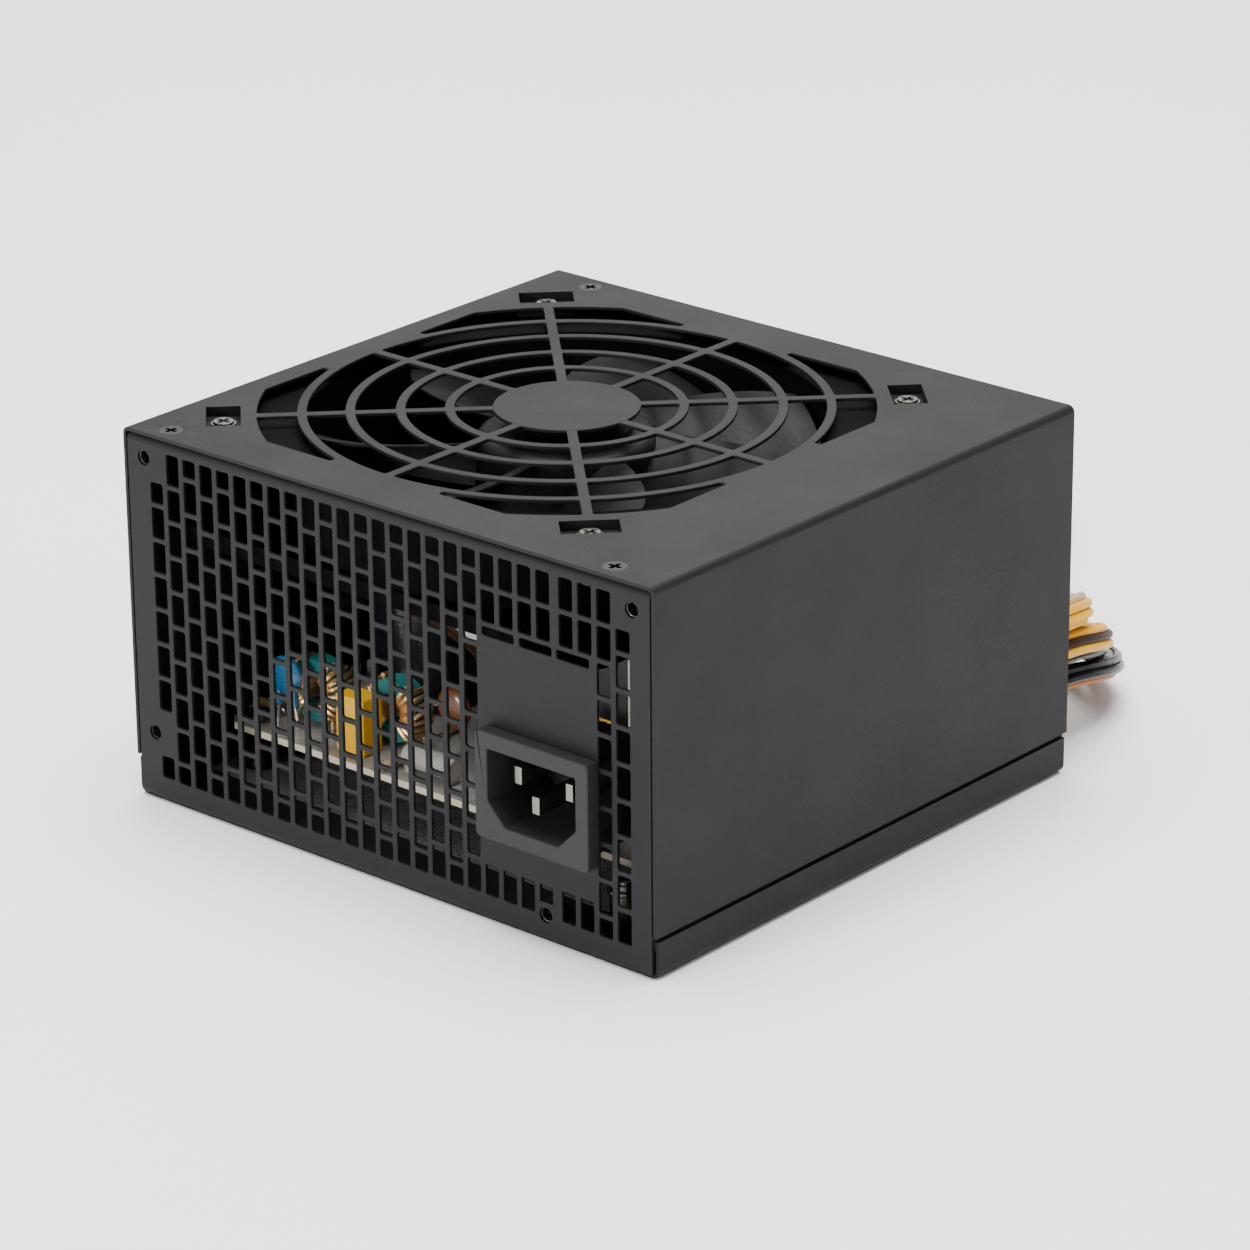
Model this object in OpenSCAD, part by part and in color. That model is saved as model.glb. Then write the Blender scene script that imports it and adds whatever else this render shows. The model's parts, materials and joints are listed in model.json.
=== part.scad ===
// Power supply unit for a desktop computer, standard 150 x 140 x 86 mm case.
// +X runs across the case, +Y from the vented rear panel to the cable panel,
// +Z up through the fan. The origin is the middle of the case's bottom face.

/* [Case] */
// Width of the case across the rear panel
case_w = 150; // [150:1:150]
// Depth of the case from the rear panel to the cable panel
case_d = 140; // [125:5:180]
// Height of the case
case_h = 86; // [86:1:86]
// Thickness of the steel sheet
sheet = 0.8; // [0.6:0.1:1.2]
// Outer radius of the tray's bends
tray_bend = 2; // [1:0.1:3]
// Outer radius of the cover's bends
cover_bend = 1.6; // [1:0.1:3]
// Height of the tray's side flanges
tray_lip = 8.4; // [6:0.1:14]
// Depth of the flanges that the cover lies on
flange = 8; // [6:0.5:8]

/* [Rear panel] */
// Slot width
slot_w = 3.65; // [3:0.05:4]
// Slot height
slot_h = 6.95; // [5:0.05:8]
// Distance from slot to slot across
slot_pitch = 5.03; // [4.5:0.01:6]
// Distance from slot to slot upwards
slot_rise = 8.05; // [7.5:0.01:9]
// Lowest edge of the vented field
vent_low = 5.8; // [4:0.1:8]
// Highest edge of the vented field
vent_high = 82.35; // [78:0.05:83]
// Radius of the four case mounting holes
mount_r = 1.75; // [1.4:0.05:1.75]

/* [Grille] */
// Middle of the fan across the case
fan_x = -10; // [-13:0.5:13]
// Middle of the fan along the case
fan_y = 0.5; // [-4:0.5:4]
// Radius of the closed disc in the middle
disc_r = 16.1; // [12:0.1:20]
// Radius of the grille's round opening
grille_r = 56.3; // [50:0.1:57]
// Width of the grille's rings
ring_w = 2.1; // [1.5:0.1:3]
// Width of the grille's spokes
spoke_w = 2.3; // [1.5:0.1:3]
// Depth of the four screw pockets
pocket_drop = 2.2; // [1.5:0.1:3]

/* [Fan] */
// Side of the square fan frame
fan_size = 120; // [120:1:120]
// Height of the fan frame
fan_h = 25; // [20:1:25]
// Distance between the fan's screws
fan_pitch = 105; // [105:1:105]
// Radius of the air duct
duct_r = 57.8; // [56:0.1:58]
// Radius of the hub
hub_r = 20; // [17:0.5:23]
// Radius at the blades' tips
tip_r = 56.2; // [54:0.1:56.4]
// Number of blades
blades = 7; // [5:1:11]
// Radius of the motor shaft
shaft_r = 1.5; // [1.5:0.1:2]

/* [Inlet] */
// Middle of the inlet across the rear panel
inlet_x = 44.4; // [44:0.1:45]
// Middle of the inlet above the case's bottom
inlet_z = 32.8; // [32:0.1:34]
// Width of the inlet's flange
inlet_w = 31; // [30:0.1:31]
// Height of the inlet's flange
inlet_h = 24; // [23:0.1:24]
// How far the flange stands out of the panel
inlet_out = 3.5; // [2:0.1:4]

/* [Board] */
// Underside of the circuit board
board_z = 10.3; // [8:0.1:12]
// Thickness of the circuit board
board_t = 1.6; // [1.2:0.1:2]
// Radius of the bulk capacitors
bulk_r = 12.5; // [11:0.5:12.5]
// Height of the bulk capacitors
bulk_h = 38; // [30:1:40]
// Top of the heatsinks
heatsink_top = 44; // [40:1:50]

/* [Cables] */
// Diameter of the 24-pin cable
main_d = 11; // [9:0.5:12]
// Diameter of the processor cable
cpu_d = 8; // [6:0.5:8]
// Diameter of the graphics card cable
card_d = 7.5; // [6:0.5:8]
// Diameter of the drive cable
drive_d = 6; // [5:0.5:7]

/* [Hidden] */
round_fn = 48;
small_fn = 24;
sides = [-1, 1];
cut = 0.1;

side_gap = 0.4;
seam = 1.1;
tray_lap = 5;
tray_w = case_w - 2 * sheet - 2 * side_gap;
tray_h = case_h - sheet;
tray_face = case_d / 2;
cover_low = tray_lip + seam;
front_y = -case_d / 2;
inner_y = front_y + sheet;

// rear panel: middle of each slot column, and where slot rows start
first_col = -65.4;
left_cols = 23;
right_cols = [51.4, 56.45, 61.5, 66.55];
row_even = 77.3;
row_odd = 82.35;
rows = 11;
mounts = [[-69, 80], [69, 80], [-69, 16], [45, 6]];
mount_clear = [11, 10];
collar_r = 3;
collar_h = 3;
plain_left = 28;
plain_right = 58.6;
short_slot = [8.8, 2];
short_slots_x = [32.85, 43.1, 53.2];
short_slots_z = 65.3;

// cover and grille
rings = [25.4, 36, 46.9];
corner_box = 57.9;
corner_r = 67.1;
corner_in = 58.4;
corner_start = 15.5;
pocket = [12.5, 7.5];
pocket_floor = case_h - sheet - pocket_drop;
cover_screws_at = [[-64.9, -65.4], [60.8, -65.4], [-59.7, 65.2]];
thread_r = 1.5;
sink_r = 2.6;

// fan, upwards from the bottom of its frame
fan_top = pocket_floor;
fan_low = fan_top - fan_h;
fan_flange = 4;
base_r = 20.5;
base_t = 2.4;
hub_low = fan_low + 4.6;
hub_h = 19;
hub_t = 1.4;
blade_h = 17.6;
blade_t = 1.6;
blade_tilt = 38;
blade_l = 28;
tube_r = 5.2;
bearing_r = 4;
bearing_gap = 0.05;
bearing_low = fan_low + base_t;
bearing_h = 13;
boss_h = 5.5;
shaft_low = bearing_low + 0.2;
hub_top = hub_low + hub_h;

// inlet
inlet_body = [27, 20];
inlet_deep = 20;
socket = [24, 16.5];
socket_deep = 15.5;
socket_cut = 4.8;
blade_size = [2, 4];
tab_size = [0.8, 6.3];
blade_step = 7;
line_z = inlet_z + 2.4;
earth_z = inlet_z - 1.6;
line_tip = front_y + 0.5;
earth_tip = front_y - 2;
tab_end = -42;

// circuit board and what stands on it
board_x = 71;
board_near = -48;
board_far = 64;
board_top = board_z + board_t;
post_at = [[-63.7, -43], [63.7, -43], [-63.7, 59], [40, 59]];
post_r = 3;
pan_r = 2.8;
film = 0.3;

// coil of the four cables behind the case
coil_x = -62;
coil_y = 153.5;
coil_z = 1;
main_ring = 55;
cpu_ring = 45.5;
card_ring = 37.7;
drive_ring = 30.9;
coil_from = 15;
coil_turn = 255;
lap = 5;
cpu_end = 215;
card_end = 184;
drive_end = 54;
ties_at = [[105, coil_z + 2 * drive_d], [145, coil_z + 2 * drive_d], [240, coil_z + 2 * cpu_d]];
tie_t = 0.9;
tie_w = 4;

// routes of the cables from the board to the coil
main_route = [[55.2, 52, 24], [55.2, 57, 24], [55.2, 62, 24.4], [55.2, 68, 24.8],
    [55.1, 74, 24.8], [54.2, 80, 23.8], [51.6, 85.8, 21.6], [47.2, 90.7, 18.4],
    [41.4, 94.5, 14.8], [34.6, 97, 11.4], [27.2, 98.2, 8.6], [19.4, 98.5, 7],
    [11, 98.5, 6.5], [0, 98.5, 6.5], [-13, 98.5, 6.5], [-27, 98.5, 6.5],
    [-43, 98.5, 6.5], [-62, 98.5, 6.5]];
cpu_route = [[65, 52, 30.4], [65, 57, 30.4], [65, 62, 30.8], [65, 68, 31.3],
    [65, 76, 31.4], [64.4, 83, 30.8], [62.3, 90, 29.2], [58.2, 96.3, 26.6],
    [52.6, 101.6, 22.8], [46, 105.7, 18], [38.2, 107.7, 14], [30.2, 108, 10.4],
    [22, 108, 7.6], [13, 108, 5.7], [3, 108, 5.1], [-12, 108, 5], [-34, 108, 5],
    [-62, 108, 5]];
card_route = [[65, 52, 22.4], [65, 57, 22.4], [65, 62, 22.8], [65, 68, 23.3],
    [65, 76, 23.3], [65, 85, 22.6], [64.2, 93, 20.9], [61.2, 100.7, 18.4],
    [55.8, 107.2, 15.4], [48.5, 111.8, 12.2], [40.5, 114.8, 9.2], [31.6, 115.8, 6.9],
    [22, 115.8, 5.5], [11, 115.8, 4.9], [-2, 115.8, 4.75], [-20, 115.8, 4.75],
    [-40, 115.8, 4.75], [-62, 115.8, 4.75]];
drive_route = [[65, 52, 15.4], [65, 58, 15.4], [65, 64, 15.9], [65, 70, 16.3],
    [65, 78, 16.2], [65, 86, 15.3], [64.8, 94, 13.8], [63, 102.2, 11.7],
    [59, 109.8, 9.4], [53, 115.8, 7.3], [45, 119.8, 5.8], [36.6, 122.3, 4.6],
    [27, 122.6, 4.1], [15, 122.6, 4], [-2, 122.6, 4], [-20, 122.6, 4],
    [-40, 122.6, 4], [-62, 122.6, 4]];
// end of the 24-pin cable, from the coil up to its plug
main_end = [[-8.9, 167.7, 6.5], [-6.9, 160, 6.8], [-5.2, 151.5, 8.8],
    [-3.8, 143, 12.4], [-2.6, 134.5, 16.2], [-1.4, 126, 18.8], [-1, 120.5, 19.2],
    [-1, 115, 19.2]];

// leads inside the case
fan_lead_route = [[-6, -55.5, 56.8], [2, -54, 55], [9, -51, 50], [13, -47.5, 42],
    [14, -45, 32], [14, -44, 24], [14, -44, 17.9]];
live_route = [[37.4, -42, 35.2], [37.4, -40, 35.2], [35.6, -37.2, 32.4],
    [31.2, -36.8, 26], [27, -38.6, 19.4], [24.4, -41, 14.4], [24.4, -41, 11.9]];
neutral_route = [[51.4, -42, 35.2], [51.4, -40, 35.2], [48.6, -35.4, 32.8],
    [42, -33.6, 27.2], [35.6, -35.4, 20.6], [31.8, -38.2, 14.6], [31.8, -38.2, 11.9]];
earth_route = [[44.4, -42, 31.2], [44.4, -40.2, 31.2], [49.4, -38.4, 29],
    [57, -40.6, 23], [60.8, -46, 18], [60.2, -52, 15], [58.6, -56, 14.2]];
wire_r = 1.1;
thin_wire_r = 0.7;

// ---------- shared shapes ----------

// rectangle with round corners, about its middle
module rounded(w, h, r) {
    square([w - 2 * r, h], center = true);
    square([w, h - 2 * r], center = true);
    for (x = sides, y = sides)
        translate([x * (w / 2 - r), y * (h / 2 - r)]) circle(r = r, $fn = small_fn);
}

// box from its lowest corner to its highest corner
module block(low, high) {
    translate(low) cube(high - low);
}

// upright post or hole from one height to another
module post(x, y, low, high, r) {
    translate([x, y, low]) cylinder(r = r, h = high - low, $fn = round_fn);
}

// round bar along Y from one depth to another
module bar_y(x, z, near, far, r) {
    translate([x, far, z]) rotate([90, 0, 0]) cylinder(r = r, h = far - near, $fn = small_fn);
}

// flat shape in X and Z, given thickness between two depths
module plate_y(near, far) {
    translate([0, far, 0]) rotate([90, 0, 0]) linear_extrude(height = far - near) children();
}

// cross recess of a screw head, opening upwards
module cross_recess(x, y, top, deep, reach) {
    for (turn = [0, 90]) translate([x, y, top - deep / 2 + cut / 2]) rotate(turn)
        cube([reach, 0.9, deep + cut], center = true);
}

// pan-head screw standing in a hole
module pan_screw(x, y, seat, head_r, head_h, r, long) {
    difference() {
        union() {
            post(x, y, seat, seat + head_h * 0.6, head_r);
            post(x, y, seat, seat + head_h, head_r * 0.8);
        }
        cross_recess(x, y, seat + head_h, head_h * 0.6, head_r * 1.1);
    }
    post(x, y, seat - long, seat, r);
}

// ---------- tubes along a route ----------

function unit(v) = v / norm(v);
function along(p, i) = unit(p[min(i + 1, len(p) - 1)] - p[max(i - 1, 0)]);
function square_to(s, t) = unit(s - (s * t) * t);
function carried(p, i, s) = i == len(p) ? []
    : concat([square_to(s, along(p, i))], carried(p, i + 1, square_to(s, along(p, i))));

// tube of radius r with n sides, one ring at each point of the route
module tube(p, r, n, up = [0, 0, 1]) {
    side = carried(p, 0, up);
    last = (len(p) - 1) * n;
    polyhedron(
        points = [for (i = [0:len(p) - 1], k = [0:n - 1])
            p[i] + r * (cos(360 * k / n) * side[i]
                + sin(360 * k / n) * cross(along(p, i), side[i]))],
        faces = concat([[for (k = [0:n - 1]) k]],
            [for (i = [0:len(p) - 2], k = [0:n - 1])
                [i * n + k, (i + 1) * n + k, (i + 1) * n + (k + 1) % n, i * n + (k + 1) % n]],
            [[for (k = [n - 1:-1:0]) last + k]]),
        convexity = 6);
}

// ---------- case ----------

// one slot, cut to the vented field
module slot(x, top) {
    high = min(top, vent_high);
    low = max(top - slot_h, vent_low);
    if (high - low > 1) translate([x - slot_w / 2, low]) square([slot_w, high - low]);
}

module slot_column(x, start) {
    for (row = [0:rows]) slot(x, start + slot_rise * (1 - row));
}

// every slot of the rear panel, seen from behind
module vent_slots() {
    difference() {
        union() {
            for (col = [0:left_cols - 1])
                slot_column(first_col + slot_pitch * col, col % 2 == 0 ? row_even : row_odd);
            slot_column(right_cols[2], row_odd);
            slot_column(right_cols[3], row_even);
        }
        translate([plain_left, 0]) square([plain_right - plain_left, vent_high + 1]);
        for (at = mounts) translate(at) square(mount_clear, center = true);
    }
    upper_columns();
    lower_columns();
    for (x = short_slots_x) translate([x, short_slots_z]) square(short_slot, center = true);
}

// the two full rows above the plain field
module upper_columns() {
    for (col = [19:22], row = [0, 1])
        slot(first_col + slot_pitch * col, row_odd - slot_rise * row);
    for (col = [0, 1], row = [0, 1]) slot(right_cols[col], row_odd - slot_rise * row);
}

// the row below the inlet
module lower_columns() {
    for (col = [19:21]) slot(first_col + slot_pitch * col, 12.85);
    for (col = [0, 1]) slot(right_cols[col], 12.85);
    translate([first_col + slot_pitch * 22 - slot_w / 2, 8.9]) square([slot_w, 3.95]);
}

// case wall as a strip that is bent round the rear, bottom and cable sides
module tray_strip() {
    rotate([90, 0, 90]) linear_extrude(height = tray_w, center = true)
        translate([0, tray_h / 2]) difference() {
            rounded(case_d, tray_h, tray_bend);
            rounded(case_d - 2 * sheet, tray_h - 2 * sheet, tray_bend - sheet);
            translate([0, tray_h / 2]) square([case_d - 2 * flange, 4 * sheet], center = true);
        }
}

// bottom sheet with its two low side flanges
module tray_sides() {
    plate_y(inner_y, -inner_y) difference() {
        translate([0, tray_lip]) rounded(case_w, 2 * tray_lip, tray_bend);
        translate([0, tray_lip])
            rounded(case_w - 2 * sheet, 2 * (tray_lip - sheet), tray_bend - sheet);
        translate([0, 1.5 * tray_lip]) square([2 * case_w, tray_lip], center = true);
    }
}

// steps of the side flanges, reaching up behind the cover
module tray_laps() {
    plate_y(inner_y, -inner_y) for (x = sides) {
        translate([x * (case_w / 2 - 1.5 * sheet - cut), tray_lip + tray_lap / 2 - 1])
            square([sheet, tray_lap + 2], center = true);
        translate([x * (case_w / 2 - sheet - cut), tray_lip - 1])
            square([2 * sheet - 2 * cut, 2], center = true);
    }
}

module mount_collars() {
    for (at = mounts) bar_y(at[0], at[1], inner_y - sheet / 2, inner_y + collar_h, collar_r);
}

module base_tray() {
    color([0.2, 0.2, 0.21]) difference() {
        union() {
            tray_strip();
            tray_sides();
            tray_laps();
            mount_collars();
            for (at = cover_screws_at)
                post(at[0], at[1], tray_h - sheet - 2, tray_h - sheet / 2, 2.6);
        }
        plate_y(front_y - cut, inner_y + cut) vent_slots();
        plate_y(front_y - cut, inner_y + cut)
            translate([inlet_x, inlet_z]) square(inlet_body + [0.3, 0.3], center = true);
        for (at = mounts) bar_y(at[0], at[1], front_y - 1, inner_y + 4, mount_r);
        plate_y(-inner_y - cut, tray_face + cut) grommet_outline(1.2);
        for (at = cover_screws_at) {
            post(at[0], at[1], tray_h - sheet - 3, tray_h + 1, thread_r);
            screw_cone(at, tray_h + cut);
        }
    }
}

// the countersunk screw's cone, from a height downwards
module screw_cone(at, top) {
    deep = sink_r - thread_r;
    intersection() {
        translate([at[0], at[1], case_h - deep])
            cylinder(r1 = thread_r, r2 = sink_r, h = deep, $fn = round_fn);
        post(at[0], at[1], case_h - deep - 1, top, sink_r + 1);
    }
}

// U-shaped sheet of the cover: its top and its two sides
module cover_sheet() {
    plate_y(front_y, tray_face) difference() {
        translate([0, case_h / 2]) rounded(case_w, case_h, cover_bend);
        translate([0, case_h / 2])
            rounded(case_w - 2 * sheet, case_h - 2 * sheet, cover_bend - sheet);
        translate([0, cover_low / 2 - 1]) square([2 * case_w, cover_low + 2], center = true);
    }
}

module spokes(step, from) {
    for (turn = [from:step:359]) rotate(turn)
        translate([0, -spoke_w / 2]) square([corner_r + 2, spoke_w]);
}

// openings of the grille, about the fan's middle
module grille_openings() {
    difference() {
        circle(r = grille_r, $fn = 96);
        circle(r = disc_r, $fn = round_fn);
        for (r = rings) difference() {
            circle(r = r + ring_w / 2, $fn = 96);
            circle(r = r - ring_w / 2, $fn = 96);
        }
        spokes(45, 0);
    }
    for (turn = [0:90:270]) rotate(turn) difference() {
        intersection() {
            translate([corner_start, corner_start])
                square(corner_box - corner_start);
            circle(r = corner_r, $fn = 96);
        }
        circle(r = corner_in, $fn = 96);
        spokes(180, 45);
    }
}

// a box at each fan screw, turned to face the fan's middle
module at_pockets() {
    for (x = sides, y = sides)
        translate([fan_x + x * fan_pitch / 2, fan_y + y * fan_pitch / 2, 0])
            rotate(-45 * x * y) children();
}

module top_cover() {
    color([0.33, 0.33, 0.33]) difference() {
        union() {
            cover_sheet();
            at_pockets() translate([0, 0, (pocket_floor + case_h) / 2])
                cube([pocket[0] + 2 * sheet, pocket[1] + 2 * sheet, sheet + pocket_drop],
                    center = true);
        }
        translate([fan_x, fan_y, case_h - 2 * sheet])
            linear_extrude(height = 4 * sheet) grille_openings();
        at_pockets() translate([0, 0, pocket_floor + sheet + 5])
            cube([pocket[0], pocket[1], 10], center = true);
        at_pockets() post(0, 0, pocket_floor - 1, case_h, 2.3);
        for (at = cover_screws_at) screw_cone(at, case_h + cut);
    }
}

module cover_screws() {
    color([0.45, 0.44, 0.4]) for (at = cover_screws_at) {
        difference() {
            screw_cone(at, case_h);
            cross_recess(at[0], at[1], case_h, 1, sink_r * 1.2);
        }
        post(at[0], at[1], case_h - 4.5, case_h - sink_r + thread_r, thread_r);
    }
}

// ---------- fan ----------

module fan_plate(low, high) {
    translate([fan_x, fan_y, low]) linear_extrude(height = high - low)
        rounded(fan_size, fan_size, 5);
}

module fan_struts() {
    for (turn = [45:90:315]) translate([fan_x, fan_y, fan_low]) rotate(turn)
        translate([base_r - 2, -1.6, 0]) cube([duct_r - base_r + 2.6, 3.2, 3]);
}

module fan_frame() {
    color([0.16, 0.16, 0.17]) difference() {
        union() {
            difference() {
                union() {
                    fan_plate(fan_low, fan_low + fan_flange);
                    fan_plate(fan_top - fan_flange, fan_top);
                    post(fan_x, fan_y, fan_low, fan_top, duct_r + 1.8);
                }
                post(fan_x, fan_y, fan_low - 1, fan_top + 1, duct_r);
            }
            post(fan_x, fan_y, fan_low, bearing_low, base_r);
            post(fan_x, fan_y, fan_low, bearing_low + bearing_h, tube_r);
            fan_struts();
        }
        post(fan_x, fan_y, bearing_low, fan_top, bearing_r);
        for (x = sides, y = sides)
            post(fan_x + x * fan_pitch / 2, fan_y + y * fan_pitch / 2,
                fan_low - 1, fan_top + 1, 2.1);
    }
}

module fan_screws() {
    color([0.75, 0.75, 0.73]) for (x = sides, y = sides)
        pan_screw(fan_x + x * fan_pitch / 2, fan_y + y * fan_pitch / 2,
            pocket_floor + sheet, 2.85, 1.2, 2.1, 10);
}

module fan_bearing() {
    color([0.75, 0.6, 0.3]) difference() {
        post(fan_x, fan_y, bearing_low, bearing_low + bearing_h, bearing_r);
        post(fan_x, fan_y, bearing_low - 1, bearing_low + bearing_h + 1,
            shaft_r + bearing_gap);
    }
}

stator_low = fan_low + 6.5;
stator_h = 7;

module fan_stator() {
    color([0.5, 0.5, 0.52]) difference() {
        union() {
            post(fan_x, fan_y, stator_low, stator_low + stator_h, 7.5);
            for (turn = [0, 90]) translate([fan_x, fan_y, stator_low + stator_h / 2])
                rotate(turn) cube([26, 4, stator_h], center = true);
            intersection() {
                difference() {
                    post(fan_x, fan_y, stator_low, stator_low + stator_h, 15.4);
                    post(fan_x, fan_y, stator_low - 1, stator_low + stator_h + 1, 12.6);
                }
                for (turn = [0, 90]) translate([fan_x, fan_y, stator_low + stator_h / 2])
                    rotate(turn) cube([32, 17, stator_h], center = true);
            }
        }
        post(fan_x, fan_y, stator_low - 1, stator_low + stator_h + 1, tube_r);
    }
}

module fan_windings() {
    color([0.7, 0.35, 0.15]) for (turn = [0:90:270])
        translate([fan_x, fan_y, stator_low + stator_h / 2]) rotate(turn)
            translate([9.9, 0, 0]) difference() {
                cube([3.8, 7.4, stator_h + 1.6], center = true);
                cube([5, 4, stator_h], center = true);
            }
}

module fan_driver_board() {
    color([0.1, 0.35, 0.2]) difference() {
        post(fan_x, fan_y, bearing_low, bearing_low + 1.2, 16.5);
        post(fan_x, fan_y, bearing_low - 1, bearing_low + 2, tube_r);
    }
}

module fan_blade() {
    intersection() {
        difference() {
            cylinder(r = tip_r, h = blade_h, $fn = round_fn);
            translate([0, 0, -1]) cylinder(r = hub_r - 0.6, h = blade_h + 2, $fn = round_fn);
        }
        translate([(hub_r + tip_r) / 2, 0, blade_h / 2]) rotate([blade_tilt, 0, 0])
            cube([tip_r - hub_r + 6, blade_l, blade_t], center = true);
    }
}

module fan_rotor() {
    color([0.13, 0.13, 0.14]) difference() {
        union() {
            post(fan_x, fan_y, hub_low, hub_top, hub_r);
            for (i = [0:blades - 1]) translate([fan_x, fan_y, hub_low + 0.6])
                rotate(i * 360 / blades + 12) fan_blade();
        }
        difference() {
            post(fan_x, fan_y, hub_low - 1, hub_top - hub_t, hub_r - hub_t);
            post(fan_x, fan_y, hub_top - hub_t - boss_h + 1.4, hub_top, tube_r - 1);
        }
        post(fan_x, fan_y, hub_low, hub_top - 0.6, shaft_r);
    }
}

module fan_shaft() {
    color([0.8, 0.8, 0.8]) post(fan_x, fan_y, shaft_low, hub_top - 0.6, shaft_r);
}

module fan_magnet() {
    color([0.25, 0.25, 0.27]) difference() {
        post(fan_x, fan_y, hub_low + 0.5, hub_low + 14, hub_r - hub_t);
        post(fan_x, fan_y, hub_low, hub_low + 15, hub_r - hub_t - 2);
    }
}

module fan_lead() {
    color([0.6, 0.2, 0.1]) tube(fan_lead_route, thin_wire_r * 1.6, 8);
}

module fan_plug() {
    color([0.9, 0.88, 0.8]) {
        block([11, -46.4, board_top], [17, -41.6, board_top + 6]);
    }
}

// ---------- mains inlet ----------

// opening of the socket, with its two lower corners cut off
module socket_outline() {
    w = socket[0] / 2;
    h = socket[1] / 2;
    polygon([[-w, h], [w, h], [w, socket_cut - h], [w - socket_cut, -h],
        [socket_cut - w, -h], [-w, socket_cut - h]]);
}

module inlet_pin(x, z, size, near, far) {
    block([x - size[0] / 2, near, z - size[1] / 2], [x + size[0] / 2, far, z + size[1] / 2]);
}

module inlet_body() {
    back = front_y + inlet_deep;
    color([0.25, 0.25, 0.26]) difference() {
        union() {
            plate_y(front_y - inlet_out, front_y)
                translate([inlet_x, inlet_z]) rounded(inlet_w, inlet_h, 1.2);
            plate_y(front_y - 1, back)
                translate([inlet_x, inlet_z]) square(inlet_body, center = true);
            for (x = sides) translate([inlet_x + x * inlet_body[0] / 2, 0, inlet_z])
                block([-0.9, inner_y, -4], [0.9, inner_y + 6, 4]);
        }
        plate_y(front_y - inlet_out - 1, front_y + socket_deep)
            translate([inlet_x, inlet_z]) socket_outline();
        for (x = [-blade_step, blade_step])
            inlet_pin(inlet_x + x, line_z, blade_size, line_tip, back + 1);
        inlet_pin(inlet_x, earth_z, blade_size, earth_tip, back + 1);
    }
}

module inlet_blades() {
    back = front_y + inlet_deep;
    color([0.8, 0.8, 0.78]) {
        for (x = [-blade_step, blade_step]) {
            inlet_pin(inlet_x + x, line_z, blade_size, line_tip, back);
            inlet_pin(inlet_x + x, line_z, tab_size, back, tab_end);
        }
        inlet_pin(inlet_x, earth_z, blade_size, earth_tip, back);
        inlet_pin(inlet_x, earth_z, tab_size, back, tab_end);
    }
}

module inlet_wires() {
    color([0.35, 0.2, 0.1]) {
        tube(live_route, wire_r, 8);
        tube(neutral_route, wire_r, 8);
    }
}

module earth_wire() {
    color([0.5, 0.6, 0.1]) tube(earth_route, wire_r, 8);
}

earth_at = [58, -60];
earth_top = 12;

module earth_post() {
    color([0.7, 0.7, 0.7]) difference() {
        post(earth_at[0], earth_at[1], sheet, earth_top, 3.2);
        post(earth_at[0], earth_at[1], sheet + 3, earth_top + 1, thread_r);
    }
}

// ring terminal under its screw
module earth_screw() {
    color([0.85, 0.85, 0.82]) {
        difference() {
            post(earth_at[0], earth_at[1], earth_top, earth_top + 0.8, 3.8);
            post(earth_at[0], earth_at[1], earth_top - 1, earth_top + 2, thread_r);
        }
        pan_screw(earth_at[0], earth_at[1], earth_top + 0.8, pan_r, 2, thread_r, 6);
    }
}

// ---------- circuit board ----------

module insulation_sheet() {
    color([0.1, 0.1, 0.11]) difference() {
        block([-board_x, board_near - 4, sheet], [board_x, board_far + 2, sheet + film]);
        for (at = post_at) post(at[0], at[1], 0, 3, post_r + 1);
    }
}

module board_posts() {
    color([0.6, 0.6, 0.6]) for (at = post_at) difference() {
        post(at[0], at[1], sheet, board_z, post_r);
        post(at[0], at[1], sheet + 3, board_z + 1, thread_r);
    }
}

module circuit_board() {
    color([0.85, 0.78, 0.6]) difference() {
        block([-board_x, board_near, board_z], [board_x, board_far, board_top]);
        for (at = post_at) post(at[0], at[1], board_z - 1, board_top + 1, thread_r + 0.2);
        translate([-board_x, board_near, board_z + 1]) rotate(45)
            cube([6, 6, 4], center = true);
        translate([board_x, board_near, board_z + 1]) rotate(45)
            cube([6, 6, 4], center = true);
    }
}

module board_screws() {
    color([0.85, 0.85, 0.82]) for (at = post_at)
        pan_screw(at[0], at[1], board_top, pan_r, 2.2, thread_r, 6);
}

module x_capacitor() {
    color([0.95, 0.8, 0.2])
        block([-38.8, -44.6, board_top], [-30.5, -38.4, board_top + 13.4]);
}

disc_at = [[-55, -43], [-14, -33]];

module y_capacitors() {
    color([0.2, 0.5, 0.75]) for (at = disc_at) {
        bar_y(at[0], board_top + 12.8, at[1] - 1.7, at[1] + 1.7, 4.6);
        for (x = sides) post(at[0] + x * 3, at[1], board_top, board_top + 11, 0.4);
    }
}

choke_at = [[-51.5, -36], [-30.2, -33.6]];
choke_r = 5.6;
choke_mid = board_top + 8.6;

// ring core standing on its edge
module standing_ring(at, mid, r, w, h) {
    translate([at[0], at[1], mid]) rotate([90, 0, 0]) difference() {
        cylinder(r = r + h / 2, h = w, center = true, $fn = round_fn);
        cylinder(r = r - h / 2, h = w + 1, center = true, $fn = round_fn);
    }
}

module choke_cores() {
    color([0.1, 0.45, 0.42]) for (at = choke_at)
        standing_ring(at, choke_mid, choke_r, 5, 3.4);
}

module choke_windings() {
    color([0.65, 0.38, 0.18]) for (at = choke_at, x = sides) difference() {
        intersection() {
            standing_ring(at, choke_mid, choke_r, 7.4, 5.8);
            translate([at[0] + x * 6.3, at[1], choke_mid]) cube([9.4, 9, 14], center = true);
        }
        standing_ring(at, choke_mid, choke_r, 5, 3.4);
    }
}

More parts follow.
